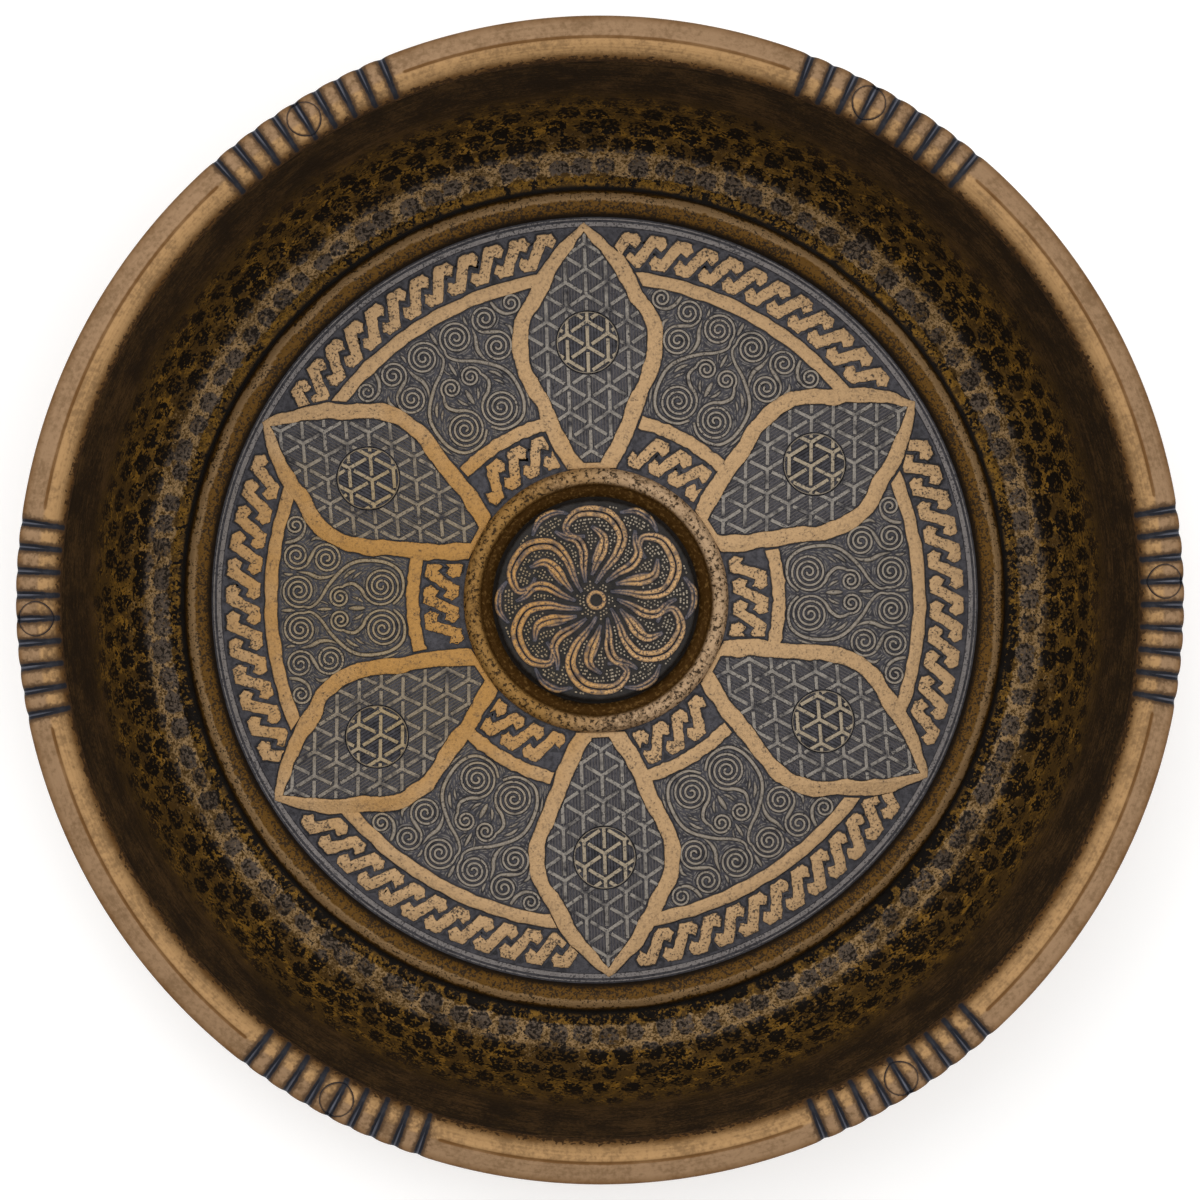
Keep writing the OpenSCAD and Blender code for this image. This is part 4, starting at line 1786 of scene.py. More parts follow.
    def lay_bands(self) -> None:
        """Makes the petals' bands and the bars between them."""
        f = self.frame
        outlines = []
        bars = []
        for k in range(FOLDS):
            outer = hand_drawn(self.petal.outline(0), self.band_shake, self.draw)
            inner = hand_drawn(self.petal.outline(-self.petal.band_w), self.band_shake, self.draw)
            outlines += [turned(outer, k * FOLD), turned(inner[::-1], k * FOLD)]
            for radius in (self.outer_bar_r, self.inner_bar_r):
                bar = hand_drawn(self.bar(radius), self.bar_shake, self.draw)
                bars.append(turned(bar, (k + 0.5) * FOLD))
        top = f.relief_top - self.band_drop
        foot = f.plate_top - self.sunk
        petals = raise_flat("petal_bands", outlines, foot, top, self.band_edge)
        links = raise_flat("plate_bars", bars, foot, top - self.bar_drop, self.band_edge)
        # Dark strips round the petals and bars: painted shade along their feet.
        petal_foot_shade = self.chase(outlines, self.petal_shade_h)
        bar_foot_shade = self.chase(bars, self.bar_shade_h)
        piece = join("plate_bands", [bar_foot_shade, petal_foot_shade, links, petals])
        self.place(piece, "plate_bands")

    def chase(self, outlines: list[Array], rise: float) -> Piece:
        """Lays a dark strip round flat figures, a little above the ground, as painted shade along their feet.
        """
        z = self.frame.plate_top
        return raise_flat("chased_lines", outlines, z - self.sunk, z + rise, THIN_EDGE, self.chased_w)

    def stroke(self, radius: float, height: float, pitch: float) -> Array:
        """Draws one fret stroke on +X, bent round the bowl.

        Args:
            radius: Radius of the band's middle line.
            height: Height of the stroke across the band.
            pitch: Distance from stroke to stroke.

        Returns:
            The closed outline.
        """
        half = np.array(self.stroke_corners)
        corners = np.vstack([half, -half])
        shares = np.linspace(0, 1, self.stroke_steps, endpoint=False)[:, None]
        flat = np.vstack([a + shares * (b - a) for a, b in zip(corners, np.roll(corners, -1, axis=0))])
        angle = flat[:, 0] * pitch / radius
        out = radius + flat[:, 1] * height / 2
        return np.c_[out * np.cos(angle), out * np.sin(angle)]

    def lay_frets(self) -> None:
        """Makes the strokes of both frets and cuts them clear of the petals."""
        f = self.frame
        outer_places = np.arange(*self.outer_fret_span) - self.outer_fret_shift
        inner_places = np.arange(*self.inner_fret_span)
        bands = (
            (self.outer_fret_r, self.outer_fret_h, self.outer_fret_pitch, outer_places),
            (self.inner_fret_r, self.inner_fret_h, self.inner_fret_pitch, inner_places),
        )
        outlines = []
        for radius, height, pitch, places in bands:
            for k in range(FOLDS):
                for place in places:
                    shape = turned(self.stroke(radius, height, pitch), FIRST_PETAL + place * pitch / radius)
                    shape = self.clear_of_petals(shape, radius, height)
                    if len(shape) > 2:
                        shape = hand_drawn(shape, self.fret_shake, self.draw)
                        outlines.append(turned(shape, (k + 0.5) * FOLD))
        foot = f.plate_top - self.sunk
        top = f.relief_top - self.fret_drop
        strokes = raise_flat("strokes", outlines, foot, top, self.band_edge, -self.fret_inset)
        piece = join("plate_frets", [self.chase(outlines, self.fret_shade_h), strokes])
        self.place(piece, "plate_frets")

    def clear_of_petals(self, shape: Array, radius: float, height: float) -> Array:
        """Cuts a fret stroke between the petals either side of +Y along the petals' edges.

        Args:
            shape: Closed outline of the stroke.
            radius: Radius of the band's middle line.
            height: Height of the band.

        Returns:
            The outline that is left, which may be empty.
        """
        edges = []
        for r in (radius - height / 2, radius + height / 2):
            angle = FOLD / 2 - self.petal.crossing(r, self.band_gap)
            edges.append(np.array([r * math.sin(angle), r * math.cos(angle)]))
        for sign in (1, -1):
            low, high = (edge * (sign, 1) for edge in edges)
            inward = np.array([low[1] - high[1], high[0] - low[0]]) * sign
            depth = (shape - low) @ (inward / np.linalg.norm(inward))
            kept = []
            sides = zip(shape, np.roll(shape, -1, axis=0), depth, np.roll(depth, -1))
            for here, there, d, e in sides:
                if d >= 0:
                    kept.append(here)
                if d * e < 0:
                    kept.append(here + (there - here) * d / (d - e))
            shape = np.array(kept)
            if len(shape) < 3:
                break
        return shape

    def star(self) -> Array:
        """Draws one three-armed bar of the lattice, with an arm along +Y.

        Returns:
            The closed outline.
        """
        arms = [
            (0.0, self.lattice_step),
            (-self.lattice_column, -self.lattice_step / 2),
            (self.lattice_column, -self.lattice_step / 2),
        ]
        ways = [np.array(arm) for arm in arms]
        outline = []
        for way, after in zip(ways, ways[1:] + ways[:1]):
            along = unit(way)
            left = np.array([-along[1], along[0]])
            end = way * self.arm_reach
            outline += [end - left * self.arm_half_w, end + left * self.arm_half_w]
            outline.append(unit(along + unit(after)) * self.arm_half_w * self.arm_fillet)
        return np.array(outline)

    def comb(self, head_r: float, field: Field) -> list[Line]:
        """Rules fine lines along the petal's axis.

        Args:
            head_r: Radius of the rivet's head.
            field: Whether the lines are on the head or on the ground round it.

        Returns:
            The lines of one petal that points along +Y.
        """
        f = self.frame
        along = np.linspace(self.petal.base_r, self.petal.tip_r, self.comb_steps)
        half_width = self.petal.half_width(along, -self.petal.band_w - self.comb_inset)
        reach = self.petal.half_w - self.petal.band_w
        lines = []
        for across in np.arange(-reach, reach, self.comb_pitch):
            from_head = np.hypot(across, along - f.stud_circle_r)
            keep = from_head < head_r - self.comb_gap
            if field is Field.GROUND:
                keep = (np.abs(across) < half_width) & (from_head > head_r + self.comb_gap)
            edges = np.flatnonzero(np.diff(np.r_[0, keep.astype(int), 0]))
            for first, last in edges.reshape(-1, 2):
                if last - first > self.comb_shortest:
                    ends = [(across, y, f.plate_top) for y in along[[first, last - 1]]]
                    lines.append((np.array(ends), np.full(2, self.comb_half_w)))
        return lines

    def lattice(self) -> Piece:
        """Sets the lattice's stars side by side over one petal.

        Returns:
            The lattice, which still runs past the petal's edges.
        """
        z = self.frame.plate_top
        star = [self.star()]
        model = raise_flat("star", star, z - self.sunk, z + self.lattice_h, self.lattice_edge)
        places = []
        for column in range(-self.lattice_columns, self.lattice_columns + 1):
            for row in range(-self.lattice_rows, self.lattice_rows):
                across = column * self.lattice_column
                along = self.frame.stud_circle_r + (row + 0.5 * (column % 2)) * self.lattice_step
                along -= self.lattice_shift
                on_petal = self.petal.base_r < along < self.petal.tip_r + 2 * MM
                if abs(across) < self.petal.half_w and on_petal:
                    places.append(Matrix.Translation((across, along, 0)))
        return copies_of("lattice_model", model, places)

    def lay_lattice(self) -> None:
        """Makes the lattice in the petals, and the rivets with the lattice that runs over them."""
        f = self.frame
        model = self.lattice()
        stud = self.stud(copy_of(model, "head_lattice"))
        self.trim(model, self.petal.outline(-self.petal.band_w - self.lattice_gap), Kept.INSIDE)
        self.trim(model, self.head_circle(f.stud_r + self.lattice_gap), Kept.OUTSIDE)
        turns = [Matrix.Rotation(k * FOLD, 4, "Z") for k in range(FOLDS)]
        lines = lay_ridges("comb", self.comb(f.stud_r, Field.GROUND), 4)
        self.place(copies_of("petal_combing", lines, turns), "petal_combing", None)
        self.place(copies_of("petal_lattice", model, turns), "plate_lattice")
        for k, turn in enumerate(turns):
            piece = copy_of(stud, f"plate_rivet_head_{k + 1}")
            piece.data.transform(turn)
            hand_over(piece, self.finishes["plate_rivet_brass"], Slot.RIVET, f"plate_rivet_{k + 1}")
        bpy.data.objects.remove(stud)

    def head_circle(self, radius: float) -> Array:
        """Returns the points of a circle round the rivet on +Y."""
        circle = arc((0, 0), radius, 0, 360 - 360 / self.stud_steps, self.stud_steps - 1)
        return np.array(circle) + (0, self.frame.stud_circle_r)

    def trim(self, piece: Piece, outline: Array, kept: Kept) -> None:
        """Cuts a piece with an upright column over an outline."""
        low, high = self.frame.floor_z - MM, self.frame.relief_top + MM
        cut(piece, raise_flat("cutter", [outline], low, high, THIN_EDGE), kept)

    def stud(self, lattice: Piece) -> Piece:
        """Makes one rivet of the plate, on +Y, with the lattice on its head.

        Args:
            lattice: The whole lattice, which is cut to the head.

        Returns:
            The rivet.
        """
        f = self.frame
        top = f.plate_top + self.stud_proud
        soft = self.stud_soft
        flat_r = f.stud_r - 2 * soft
        stem = rivet_stem(
            f.stud_r, f.floor_z, self.stud_shank_r, self.stud_tail_r, self.stud_tail_h, f.stud_foot
        )
        rod = revolve("rivet_rod", [
            (0.0, top),
            (f.stud_r - 3 * soft, top),
            (flat_r, top + soft),
            (f.stud_r - soft, top + soft),
            (f.stud_r, top - soft),
            *stem,
        ], self.stud_steps)
        move_points(rod, points_of(rod) + (0, f.stud_circle_r, 0))
        self.trim(lattice, self.head_circle(flat_r), Kept.INSIDE)
        lines = lay_ridges("head_comb", self.comb(flat_r, Field.HEAD), 4)
        return join("plate_rivet_model", [lines, lattice, rod])


@dataclass(frozen=True)
class Volute:
    """A spiral of the scrollwork, in the panel's own millimetres."""

    across: float
    along: float
    reach: float
    turns: float
    entry: float
    turn: Turn
    eye: float = 0.3

    def points(self, spacing: float) -> Array:
        """Draws the spiral from its entry to its eye.

        Args:
            spacing: Distance between points.

        Returns:
            The points in millimetres.
        """
        length = math.pi * (self.reach + self.eye) * self.turns
        t = np.linspace(0, 1, int(length / spacing))
        angle = math.radians(self.entry) + self.turn.value * math.tau * self.turns * t
        reach = self.reach + (self.eye - self.reach) * t
        return np.c_[self.across + reach * np.cos(angle), self.along + reach * np.sin(angle)]


@dataclass
class ScrollPanels:
    """The scrollwork between the petals: volutes, leaves and combed ground."""

    plate: FloorPlate
    line_half_w: float = 0.33
    stem_bulge: float = 0.14
    eye_w: float = 1.5
    tip_w: float = 0.3
    leaf_end_w: float = 0.1
    comb_half_w: float = 0.13
    comb_end_w: float = 0.04
    comb_taper: float = 0.3
    comb_length: tuple[int, int] = (3, 12)
    comb_gap: float = 0.37
    comb_step: float = 0.3
    cell: float = 0.12
    margin: float = 0.35
    on_axis: float = 0.2
    spacing: float = 0.24
    across_span: Point = (-21.0, 21.0)
    along_span: Point = (34.5, 59.5)

    def scrolls(self) -> list[tuple[Volute | None, list[Point], Volute | None]]:
        """Lays out the right half of the panel's scrolls.

        Returns:
            A volute, a stem and a volute of each scroll.
        """
        outer = Volute(3.55, 54.8, 3.05, 3.1, 195, Turn.RIGHT)
        second = Volute(10.0, 55.0, 2.5, 2.4, 230, Turn.RIGHT)
        side = Volute(9.3, 49.5, 2.75, 2.7, 50, Turn.RIGHT)
        heart = Volute(2.1, 47.3, 1.95, 2.1, -15, Turn.LEFT)
        large = Volute(3.9, 39.6, 3.45, 3.4, 140, Turn.LEFT)
        corner = Volute(15.6, 55.0, 1.85, 1.9, 240, Turn.LEFT)
        return [
            (outer, [(0.4, 53.0), (0.85, 52.0), (2.2, 50.7), (4.5, 49.2), (7.2, 46.6), (8.5, 44.2),
                     (8.7, 41.3), (8.1, 38.3), (6.5, 36.1), (4.2, 35.5), (2.0, 36.0), (0.4, 37.6)], None),
            (second, [(9.75, 52.35)], side),
            (heart, [(4.4, 46.0), (4.5, 44.7), (3.4, 43.3), (2.1, 42.6)], large),
            (None, [(12.5, 57.2), (12.8, 55.3), (13.7, 53.9)], corner),
        ]

    def leaves(self) -> list[tuple[list[Point], float]]:
        """Lays out the right half of the panel's leaves.

        Returns:
            The knots and the greatest half width of each leaf.
        """
        return [
            ([(6.6, 47.7), (5.9, 49.4), (5.9, 51.2), (6.7, 53.0), (7.1, 55.2)], 0.5),
            ([(0.0, 42.5), (0.0, 44.0), (0.0, 45.9)], 0.55),
            ([(0.9, 42.9), (1.7, 43.9), (2.2, 45.2)], 0.35),
            ([(0.0, 48.6), (0.0, 50.4), (0.0, 51.8)], 0.4),
            ([(0.7, 49.2), (1.3, 50.2), (1.5, 51.2)], 0.25),
            ([(0.0, 55.4), (0.0, 56.9), (0.0, 58.3)], 0.45),
            ([(5.4, 46.6), (6.5, 45.4), (7.2, 43.9)], 0.4),
            ([(5.3, 44.9), (6.2, 43.9), (6.8, 42.9)], 0.3),
            ([(11.6, 46.6), (10.9, 45.0), (10.4, 43.2)], 0.35),
            ([(6.9, 57.6), (6.6, 56.6), (6.7, 55.6)], 0.35),
            ([(13.4, 57.6), (14.6, 57.5), (16.2, 57.9)], 0.3),
            ([(12.6, 52.4), (13.2, 51.2), (12.6, 49.6)], 0.4),
            ([(8.3, 36.6), (9.0, 38.2), (9.5, 40.0)], 0.3),
        ]

    def lines(self) -> list[Line]:
        """Draws every main line of one panel, in millimetres.

        Returns:
            The points and half widths of each line.
        """
        drawn = []
        for first, stem, last in self.scrolls():
            head = first.points(self.spacing)[::-1] if first else np.empty((0, 2))
            tail = last.points(self.spacing) if last else np.empty((0, 2))
            knots = [*map(tuple, head[-1:]), *stem, *map(tuple, tail[:1])]
            middle = through(knots, self.spacing)
            path = np.vstack([head[:-1], middle, tail[1:]])
            width = np.full(len(path), self.line_half_w)
            bulge = np.sin(np.linspace(0, math.pi, len(middle))) * self.stem_bulge
            width[max(len(head) - 1, 0):][:len(middle)] += bulge
            for end, volute in ((0, first), (-1, last)):
                width[end] *= self.eye_w if volute else self.tip_w
            drawn.append((path, width))
        for knots, widest in self.leaves():
            path = through(knots, self.spacing)
            swell = np.sin(np.linspace(0, math.pi, len(path)))
            drawn.append((path, self.leaf_end_w + (widest - self.leaf_end_w) * swell))
        mirrored = [(path * (-1, 1), width) for path, width in drawn if path[:, 0].max() > self.on_axis]
        return drawn + mirrored

    def free(self, across: Array, along: Array) -> Array:
        """Tells which places in millimetres are on the panel's ground.

        Args:
            across: Places across the panel.
            along: Distances along the panel's middle line.

        Returns:
            True for each place on the ground.
        """
        plate = self.plate
        margin = self.margin * MM
        radius = np.hypot(across, along) * MM
        low = plate.inner_bar_r + plate.bar_w / 2 + margin
        high = plate.outer_bar_r - plate.bar_w / 2 - margin
        beside = turned(np.c_[np.abs(across), along] * MM, FOLD / 2)
        off_petal = np.abs(beside[:, 0]) > plate.petal.half_width(beside[:, 1], margin)
        return (low < radius) & (radius < high) & off_petal

    def combing(self, lines: list[Line]) -> list[Array]:
        """Combs the free ground with short strokes that follow the nearest line.

        Args:
            lines: The panel's main lines.

        Returns:
            The strokes' points in millimetres.
        """
        points = np.vstack([path for path, _ in lines])
        ways = unit(np.vstack([np.gradient(path, axis=0) for path, _ in lines]))
        widths = np.concatenate([width for _, width in lines])
        tree = search_tree(np.c_[points, np.zeros(len(points))])
        spans = [np.arange(*span, self.cell) for span in (self.across_span, self.along_span)]
        across, along = (cells.ravel() for cells in np.meshgrid(*spans, indexing="ij"))
        found = [tree.find((x, y, 0))[1:] for x, y in zip(across, along)]
        index = np.array([i for i, _ in found])
        clear = np.array([away for _, away in found]) - widths[index]
        room = self.free(across, along) & (clear > 0.5 * self.comb_gap)
        room = room.reshape(*map(len, spans))
        flow = ways[index].reshape(*room.shape, 2)
        draw = np.random.default_rng(5)
        strokes = []
        for start in zip(*np.unravel_index(np.argsort(clear), room.shape)):
            if room[start]:
                stroke = self.stroke_from(start, room, flow, draw.integers(*self.comb_length))
                if len(stroke) > 2:
                    self.take_room(stroke, room)
                    corner = (self.across_span[0], self.along_span[0])
                    strokes.append(np.array(stroke) * self.cell + corner)
        return strokes

    def stroke_from(self, start: tuple[int, int], room: Array, flow: Array, steps: int) -> list[Array]:
        """Grows one combed stroke both ways from a cell while there is room.

        Args:
            start: The cell.
            room: Cells that are free.
            flow: Direction of the nearest line at each cell.
            steps: Greatest number of steps each way.

        Returns:
            The stroke's points, in cells.
        """
        halves = []
        for sign in (1, -1):
            point = np.array(start, float)
            heading = sign * flow[start]
            half = []
            for _ in range(steps):
                point = point + heading * self.comb_step / self.cell
                cell = tuple(np.rint(point).astype(int))
                if not (0 <= cell[0] < room.shape[0] and 0 <= cell[1] < room.shape[1] and room[cell]):
                    break
                half.append(point)
                heading = flow[cell] if flow[cell] @ heading > 0 else -flow[cell]
            halves.append(half)
        return [*halves[1][::-1], np.array(start, float), *halves[0]]

    def take_room(self, stroke: list[Array], room: Array) -> None:
        """Marks the cells near a stroke as taken.

        Args:
            stroke: The stroke's points, in cells.
            room: Cells that are free.
        """
        reach = int(self.comb_gap / self.cell)
        for point in np.rint(stroke).astype(int):
            low = np.maximum(point - reach, 0)
            patch = room[low[0]:point[0] + reach + 1, low[1]:point[1] + reach + 1]
            i, j = np.indices(patch.shape)
            patch[np.hypot(i + low[0] - point[0], j + low[1] - point[1]) <= reach] = False

    def build(self) -> None:
        """Makes the scrolls and the combed ground of one panel and copies them round the plate."""
        lines = self.lines()
        self.plate.place(self.copied("plate_scrolls", lines, 6), "plate_scrolls", 60)
        strokes = self.combing(lines)
        ends = (self.comb_taper, math.pi - self.comb_taper)
        swells = [np.sin(np.linspace(*ends, len(stroke))) for stroke in strokes]
        widths = [self.comb_end_w + self.comb_half_w * swell for swell in swells]
        combs = self.copied("plate_combing", list(zip(strokes, widths)), 4)
        self.plate.place(combs, "plate_combing", None)

    def copied(self, name: str, lines: list[Line], sides: int) -> Piece:
        """Lays the ridges of one panel and copies them round the plate.

        Args:
            name: Name of the piece.
            lines: Points and half widths of each ridge.
            sides: Number of faces round a ridge.

        Returns:
            The piece.
        """
        z = self.plate.frame.plate_top
        ridges = [(np.c_[path * MM, np.full(len(path), z)], width * MM) for path, width in lines]
        turns = [Matrix.Rotation((k + 0.5) * FOLD, 4, "Z") for k in range(FOLDS)]
        return copies_of(name, lay_ridges("panel_model", ridges, sides), turns)


@dataclass
class FloorRing:
    """The half-round ring over the plate's edge."""

    frame: BowlFrame
    steps_round: int = 480
    section_steps: int = 22
    waves: tuple[Place, ...] = ((1, 17, 0.4), (0.7, 41, 1.9), (0.5, 73, 0))
    wave_h: float = 0.03
    worn: float = 0.06

    def build(self) -> None:
        """Makes the ring and dresses it."""
        f = self.frame
        middle = (f.plate_r - f.ring_r, f.plate_top)
        section = arc(middle, f.ring_r, 0, 180, self.section_steps)
        piece = revolve("ring_half_round", [*section, section[0]], self.steps_round)
        points = points_of(piece)
        angle = polar(points)[1]
        waves = sum(share * np.sin(turns * angle + start) for share, turns, start in self.waves)
        lift = rising(points[:, 2], f.plate_top + 0.5 * f.ring_r, f.plate_top + f.ring_r)
        points[:, 2] -= lift * (self.worn + self.wave_h * waves) * MM
        move_points(piece, points)
        hand_over(piece, RingBrass(middle[0]).material(), Slot.RING, "floor_ring", sharp=60)


@dataclass
class Boss:
    """The collar, and the medallion with its beaded ground and leaf rosette."""

    frame: BowlFrame
    spigot: float = 2 * MM
    fall: float = 1 * MM
    shoulder_r: float = 0.7 * MM
    foot_w: float = 3.7 * MM
    skirt_w: float = 0.9 * MM
    strand_rise: float = 0.85
    spread: float = 1.06
    strand_end_w: float = 0.22
    strand_taper: float = 0.15
    strand_spacing: float = 0.3
    hub_r: float = 1.5
    hub_half_w: float = 0.5
    bead_pitch: float = 0.6 * MM
    bead_r: float = 0.25 * MM
    bead_gap: float = 0.7 * MM
    bead_sizes: Point = (0.85, 1.1)
    bead_flat: float = 0.8
    bead_drift: float = 0.01
    steps_round: int = 240

    def __post_init__(self) -> None:
        """Works out the dome from the sizes."""
        f = self.frame
        self.edge_r = f.medallion_r + self.skirt_w
        reach = self.edge_r - self.shoulder_r
        drop = self.fall + self.shoulder_r
        self.dome_r = (reach**2 + drop**2 - self.shoulder_r**2) / (2 * self.fall)
        self.shoulder_c = (reach, f.medallion_top - self.fall - self.shoulder_r)

    def surface(self, radius: Array) -> Array:
        """Works out the height of the dome and its shoulder.

        Args:
            radius: Distances from the axis.

        Returns:
            The heights.
        """
        dome = self.frame.medallion_top - self.dome_r + np.sqrt(self.dome_r**2 - radius**2)
        out = np.clip(radius - self.shoulder_c[0], 0, self.shoulder_r)
        return np.minimum(dome, self.shoulder_c[1] + np.sqrt(self.shoulder_r**2 - out**2))

    def build(self) -> None:
        """Makes the collar and the medallion and dresses them."""
        f = self.frame
        lip_r = f.collar_lip_w / 2
        bore_r = f.collar_r - f.collar_lip_w
        lip_c = (f.collar_r - lip_r, f.collar_top - lip_r)
        section = [
            (bore_r - self.spigot, f.floor_z),
            (bore_r, f.floor_z),
            (bore_r, f.plate_top),
            (f.collar_r, f.plate_top),
            *arc(lip_c, lip_r, 0, 180, 18),
            *straight((bore_r, lip_c[1]), (bore_r - self.spigot, f.floor_z), 5),
            (bore_r - self.spigot, f.floor_z),
        ]
        collar = revolve("collar_turned", section, self.steps_round)
        hand_over(collar, CollarBrass(bore_r).material(), Slot.COLLAR, "boss_collar", sharp=50)
        self.turn_dome()
        lines = self.rosette()
        self.lay_strands(lines)
        self.set_beads(lines)

    def place(self, piece: Piece, finish: ChasedPatina, sharp: float) -> None:
        """Hands over a piece of the medallion."""
        hand_over(piece, finish.material(), Slot.MEDALLION, "boss_medallion", sharp=sharp)

    def turn_dome(self) -> None:
        """Makes the medallion's dome with its hollow underside."""
        f = self.frame
        hold_r = self.edge_r - self.foot_w
        ball = (hold_r**2 + f.hold_h**2) / (2 * f.hold_h)
        shoulder = self.shoulder_c[0] + self.shoulder_r * np.sin(np.radians(np.linspace(10, 90, 8)))
        radii = np.r_[np.linspace(0, self.shoulder_c[0], 16), shoulder]
        hollow = np.linspace(hold_r, 0, 8)
        profile = [(float(r), float(z)) for r, z in zip(radii, self.surface(radii))]
        profile.append((self.edge_r, f.floor_z))
        profile += [(float(r), f.floor_z + f.hold_h - ball + math.sqrt(ball**2 - r * r)) for r in hollow]
        dome = revolve("medallion_dome", profile, self.steps_round)
        mark_points(dome, lift=np.zeros(len(dome.data.vertices)))
        self.place(dome, ChasedPatina("medallion_ground", deep=(12, 9, 6), ground=(38, 33, 29)), 50)

    def lay_strands(self, lines: list[Line]) -> None:
        """Lays the rosette's strands on the dome.

        Args:
            lines: The strands.
        """
        strands = lay_ridges("medallion_strands", lines, 8)
        points = points_of(strands)
        points[:, 2] -= (1 - self.strand_rise) * self.lift(strands)
        move_points(strands, points)
        mark_points(strands, lift=self.lift(strands))
        brass = ChasedPatina(
            "medallion_brass", deep=(44, 43, 49), ground=(88, 87, 95), crest=(192, 153, 104),
            crest_warm=(182, 137, 76), crest_from=0.2 * MM, crest_to=0.42 * MM, wear=0.6, pits=0.26,
        )
        self.place(strands, brass, 60)

    def lift(self, piece: Piece) -> Array:
        """Returns how high the points of a piece stand above the dome."""
        points = points_of(piece)
        return points[:, 2] - self.surface(np.minimum(polar(points)[0], self.edge_r))

    def rosette(self) -> list[Line]:
        """Draws a whirling rosette of branches and leaves that lies on the dome.

        Returns:
            The strands.
        """
        branch = [
            (0, 2.9), (17, 5.4), (26, 8.8), (23, 12.4), (9, 15.1),
            (-9, 15.6), (-21, 13.8), (-18, 11.8), (-8, 11.3),
        ]
        twig = [(30, 3.6), (41, 6.2), (47, 8.8), (44, 11.0), (35, 12.4), (31, 14.0)]
        leaf = [(-8, 4.4), (2, 6.4), (9, 8.8), (8, 11.2), (-2, 12.9)]
        bud = [(17, 15.8), (26, 17.0), (36, 16.9), (44, 15.9)]
        blade = [(56, 6.4), (63, 8.4), (66, 10.4)]
        strands = (
            (branch, 0.62, 0.6), (twig, 0.5, 0.5), (leaf, 0.5, 0.55), (bud, 0.3, 0.4), (blade, 0.25, 0.4),
        )
        hub = np.array(arc((0, 0), self.hub_r, 0, 360, 30))
        drawn = [(hub, np.full(len(hub), self.hub_half_w))]
        for knots, gap, half_w in strands:
            angles, radii = np.array(knots).T * np.array([[1], [self.spread]])
            angles = np.radians(angles)
            path = through(np.c_[radii * np.sin(angles), radii * np.cos(angles)], self.strand_spacing)
            along = unit(np.gradient(path, axis=0))
            left = np.c_[-along[:, 1], along[:, 0]]
            swell = np.sin(np.linspace(self.strand_taper, math.pi - self.strand_taper, len(path)))[:, None]
            half = self.strand_end_w + (half_w - self.strand_end_w) * swell[:, 0]
            for side in (-1, 1):
                drawn += [(turned(path + side * gap * swell * left, k * FOLD), half) for k in range(FOLDS)]
        ridges = []
        for path, half in drawn:
            flat = path * MM
            ridges.append((np.c_[flat, self.surface(np.hypot(*flat.T))], half * MM))
        return ridges

    def set_beads(self, lines: list[Line]) -> None:
        """Punches beads into the ground that the strands leave free.

        Args:
            lines: The strands.
        """
        tree = search_tree(np.vstack([points for points, _ in lines]))
        draw = np.random.default_rng(31)
        places = []
        for row in range(2, int(self.edge_r / self.bead_pitch)):
            radius = row * self.bead_pitch
            count = int(math.tau * radius / self.bead_pitch)
            for i in range(count):
                angle = math.tau * (i + 0.5 * (row % 2)) / count + draw.normal(0, self.bead_drift)
                spot = Vector((radius * math.cos(angle), radius * math.sin(angle), 0))
                spot.z = float(self.surface(np.array([radius]))[0])
                if tree.find(spot)[2] > self.bead_gap:
                    size = draw.uniform(*self.bead_sizes)
                    flattened = Matrix.Diagonal((size, size, self.bead_flat * size, 1))
                    places.append(Matrix.Translation(spot) @ flattened)
        take()
        bpy.ops.mesh.primitive_ico_sphere_add(subdivisions=1, radius=self.bead_r)
        beads = copies_of("medallion_beads", bpy.context.object, places)
        mark_points(beads, lift=self.lift(beads))
        punched = ChasedPatina(
            "medallion_beads", deep=(24, 19, 15), ground=(58, 52, 48), crest=(164, 152, 134),
            crest_warm=(152, 134, 106), crest_from=0.02 * MM, crest_to=0.12 * MM,
        )
        self.place(beads, punched, 80)


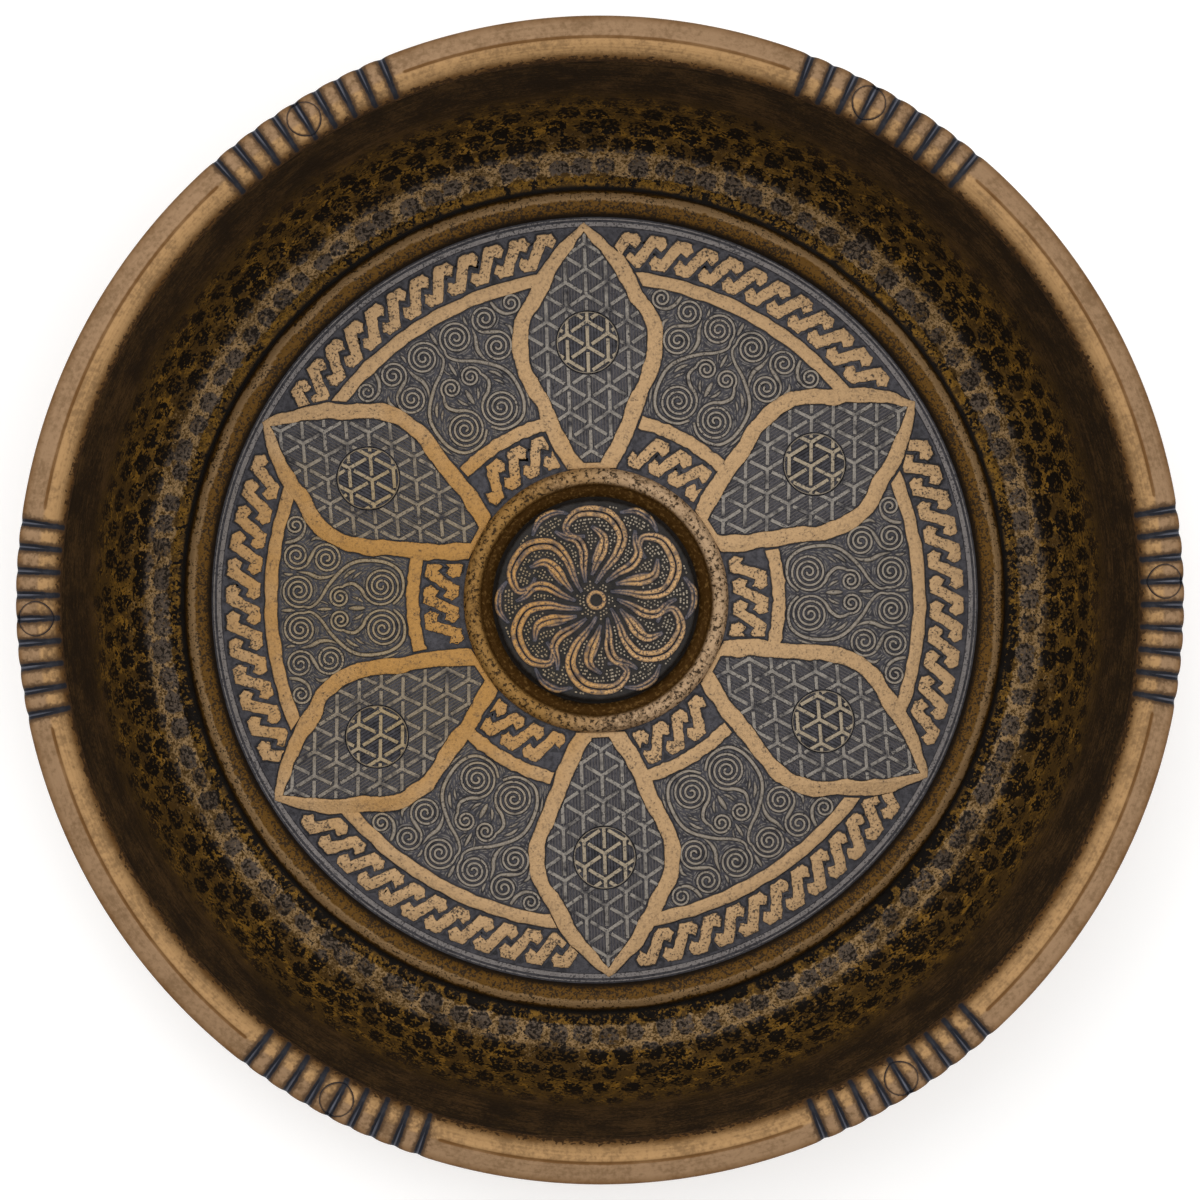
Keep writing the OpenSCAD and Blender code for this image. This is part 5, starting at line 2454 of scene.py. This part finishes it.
@dataclass
class Studio:
    """Camera, soft light and a pale floor."""

    camera_height: float = 535 * MM
    camera_side: float = -16 * MM
    aim_side: float = -0.6 * MM
    frame_width: float = 204.5 * MM
    roll: float = math.radians(-1.9)
    sensor: float = 36
    lamps: tuple[tuple[str, Place, float, float], ...] = (
        ("key", (-0.45, 0.6, 1.15), 1.0, 7.5),
        ("fill", (0.7, -0.35, 1.1), 1.2, 4.5),
        ("top", (0.15, 0.1, 1.5), 0.8, 3.0),
    )
    floor_size: float = 1.7
    floor_z: float = -0.2 * MM
    floor_roughness: float = 0.9
    sky: float = 0.55
    floor_colour: float = 0.92
    floor_glow: float = 0.22

    def build(self, rim_top: float) -> None:
        """Sets up the whole studio.

        Args:
            rim_top: Height of the rim, which the camera aims at.
        """
        self.set_camera(rim_top)
        for lamp in self.lamps:
            self.light(*lamp)
        self.lay_floor()
        self.set_sky()
        bpy.context.scene.view_settings.view_transform = "Standard"

    def set_camera(self, rim_top: float) -> None:
        """Hangs the camera over the bowl.

        Args:
            rim_top: Height of the rim.
        """
        place = (self.camera_side, 0, rim_top + self.camera_height)
        lean = math.atan2(self.camera_side - self.aim_side, self.camera_height)
        turn = Matrix.Rotation(lean, 3, "Y") @ Matrix.Rotation(self.roll, 3, "Z")
        take()
        bpy.ops.object.camera_add(location=place, rotation=turn.to_euler())
        camera = bpy.context.object
        camera.data.sensor_width = self.sensor
        camera.data.lens = self.sensor * self.camera_height / self.frame_width
        bpy.context.scene.camera = camera

    def light(self, name: str, place: Place, size: float, power: float) -> None:
        """Hangs a soft lamp that points at the bowl.

        Args:
            name: Name of the lamp.
            place: Place of the lamp.
            size: Width of the lamp.
            power: Power in watts.
        """
        take()
        bpy.ops.object.light_add(type="AREA", location=place)
        lamp = bpy.context.object
        lamp.name = name
        lamp.rotation_euler = (-Vector(place)).to_track_quat("-Z", "Y").to_euler()
        lamp.data.size = size
        lamp.data.energy = power

    def lay_floor(self) -> None:
        """Lays the pale floor."""
        take()
        bpy.ops.mesh.primitive_plane_add(size=self.floor_size, location=(0, 0, self.floor_z))
        floor = bpy.context.object
        floor.name = "studio_floor"
        paint = Paint("studio_floor")
        shade = self.floor_colour
        paint.shade(base_color=(shade, shade, shade, 1), roughness=self.floor_roughness)
        paint.shade(emission_color=paint.seen("ADD"), emission_strength=self.floor_glow)
        floor.data.materials.append(paint.material)

    def set_sky(self) -> None:
        """Makes the surroundings white to the eye and softer as light."""
        world = bpy.data.worlds.new("studio_sky")
        world.use_nodes = True
        bpy.context.scene.world = world
        sky = Nodes(world.node_tree)
        level = sky.node("MapRange", None, {"Value": sky.seen("MAXIMUM"), "To Min": self.sky})
        background = sky.tree.nodes["Background"]
        sky.feed(background.inputs["Strength"], level.outputs[0])
        sky.feed(background.inputs["Color"], (1, 1, 1, 1))


def main() -> None:
    """Builds and dresses the bowl."""
    logging.basicConfig(level=logging.INFO, format="%(name)s %(relativeCreated)d ms: %(message)s")
    sizes = BowlFrame.read()
    for part in (HammeredBowl, RimHoop, FloorPlate, FloorRing, Boss):
        part(sizes).build()
    Studio().build(sizes.rim_top)


if __name__ == "__main__":
    main()
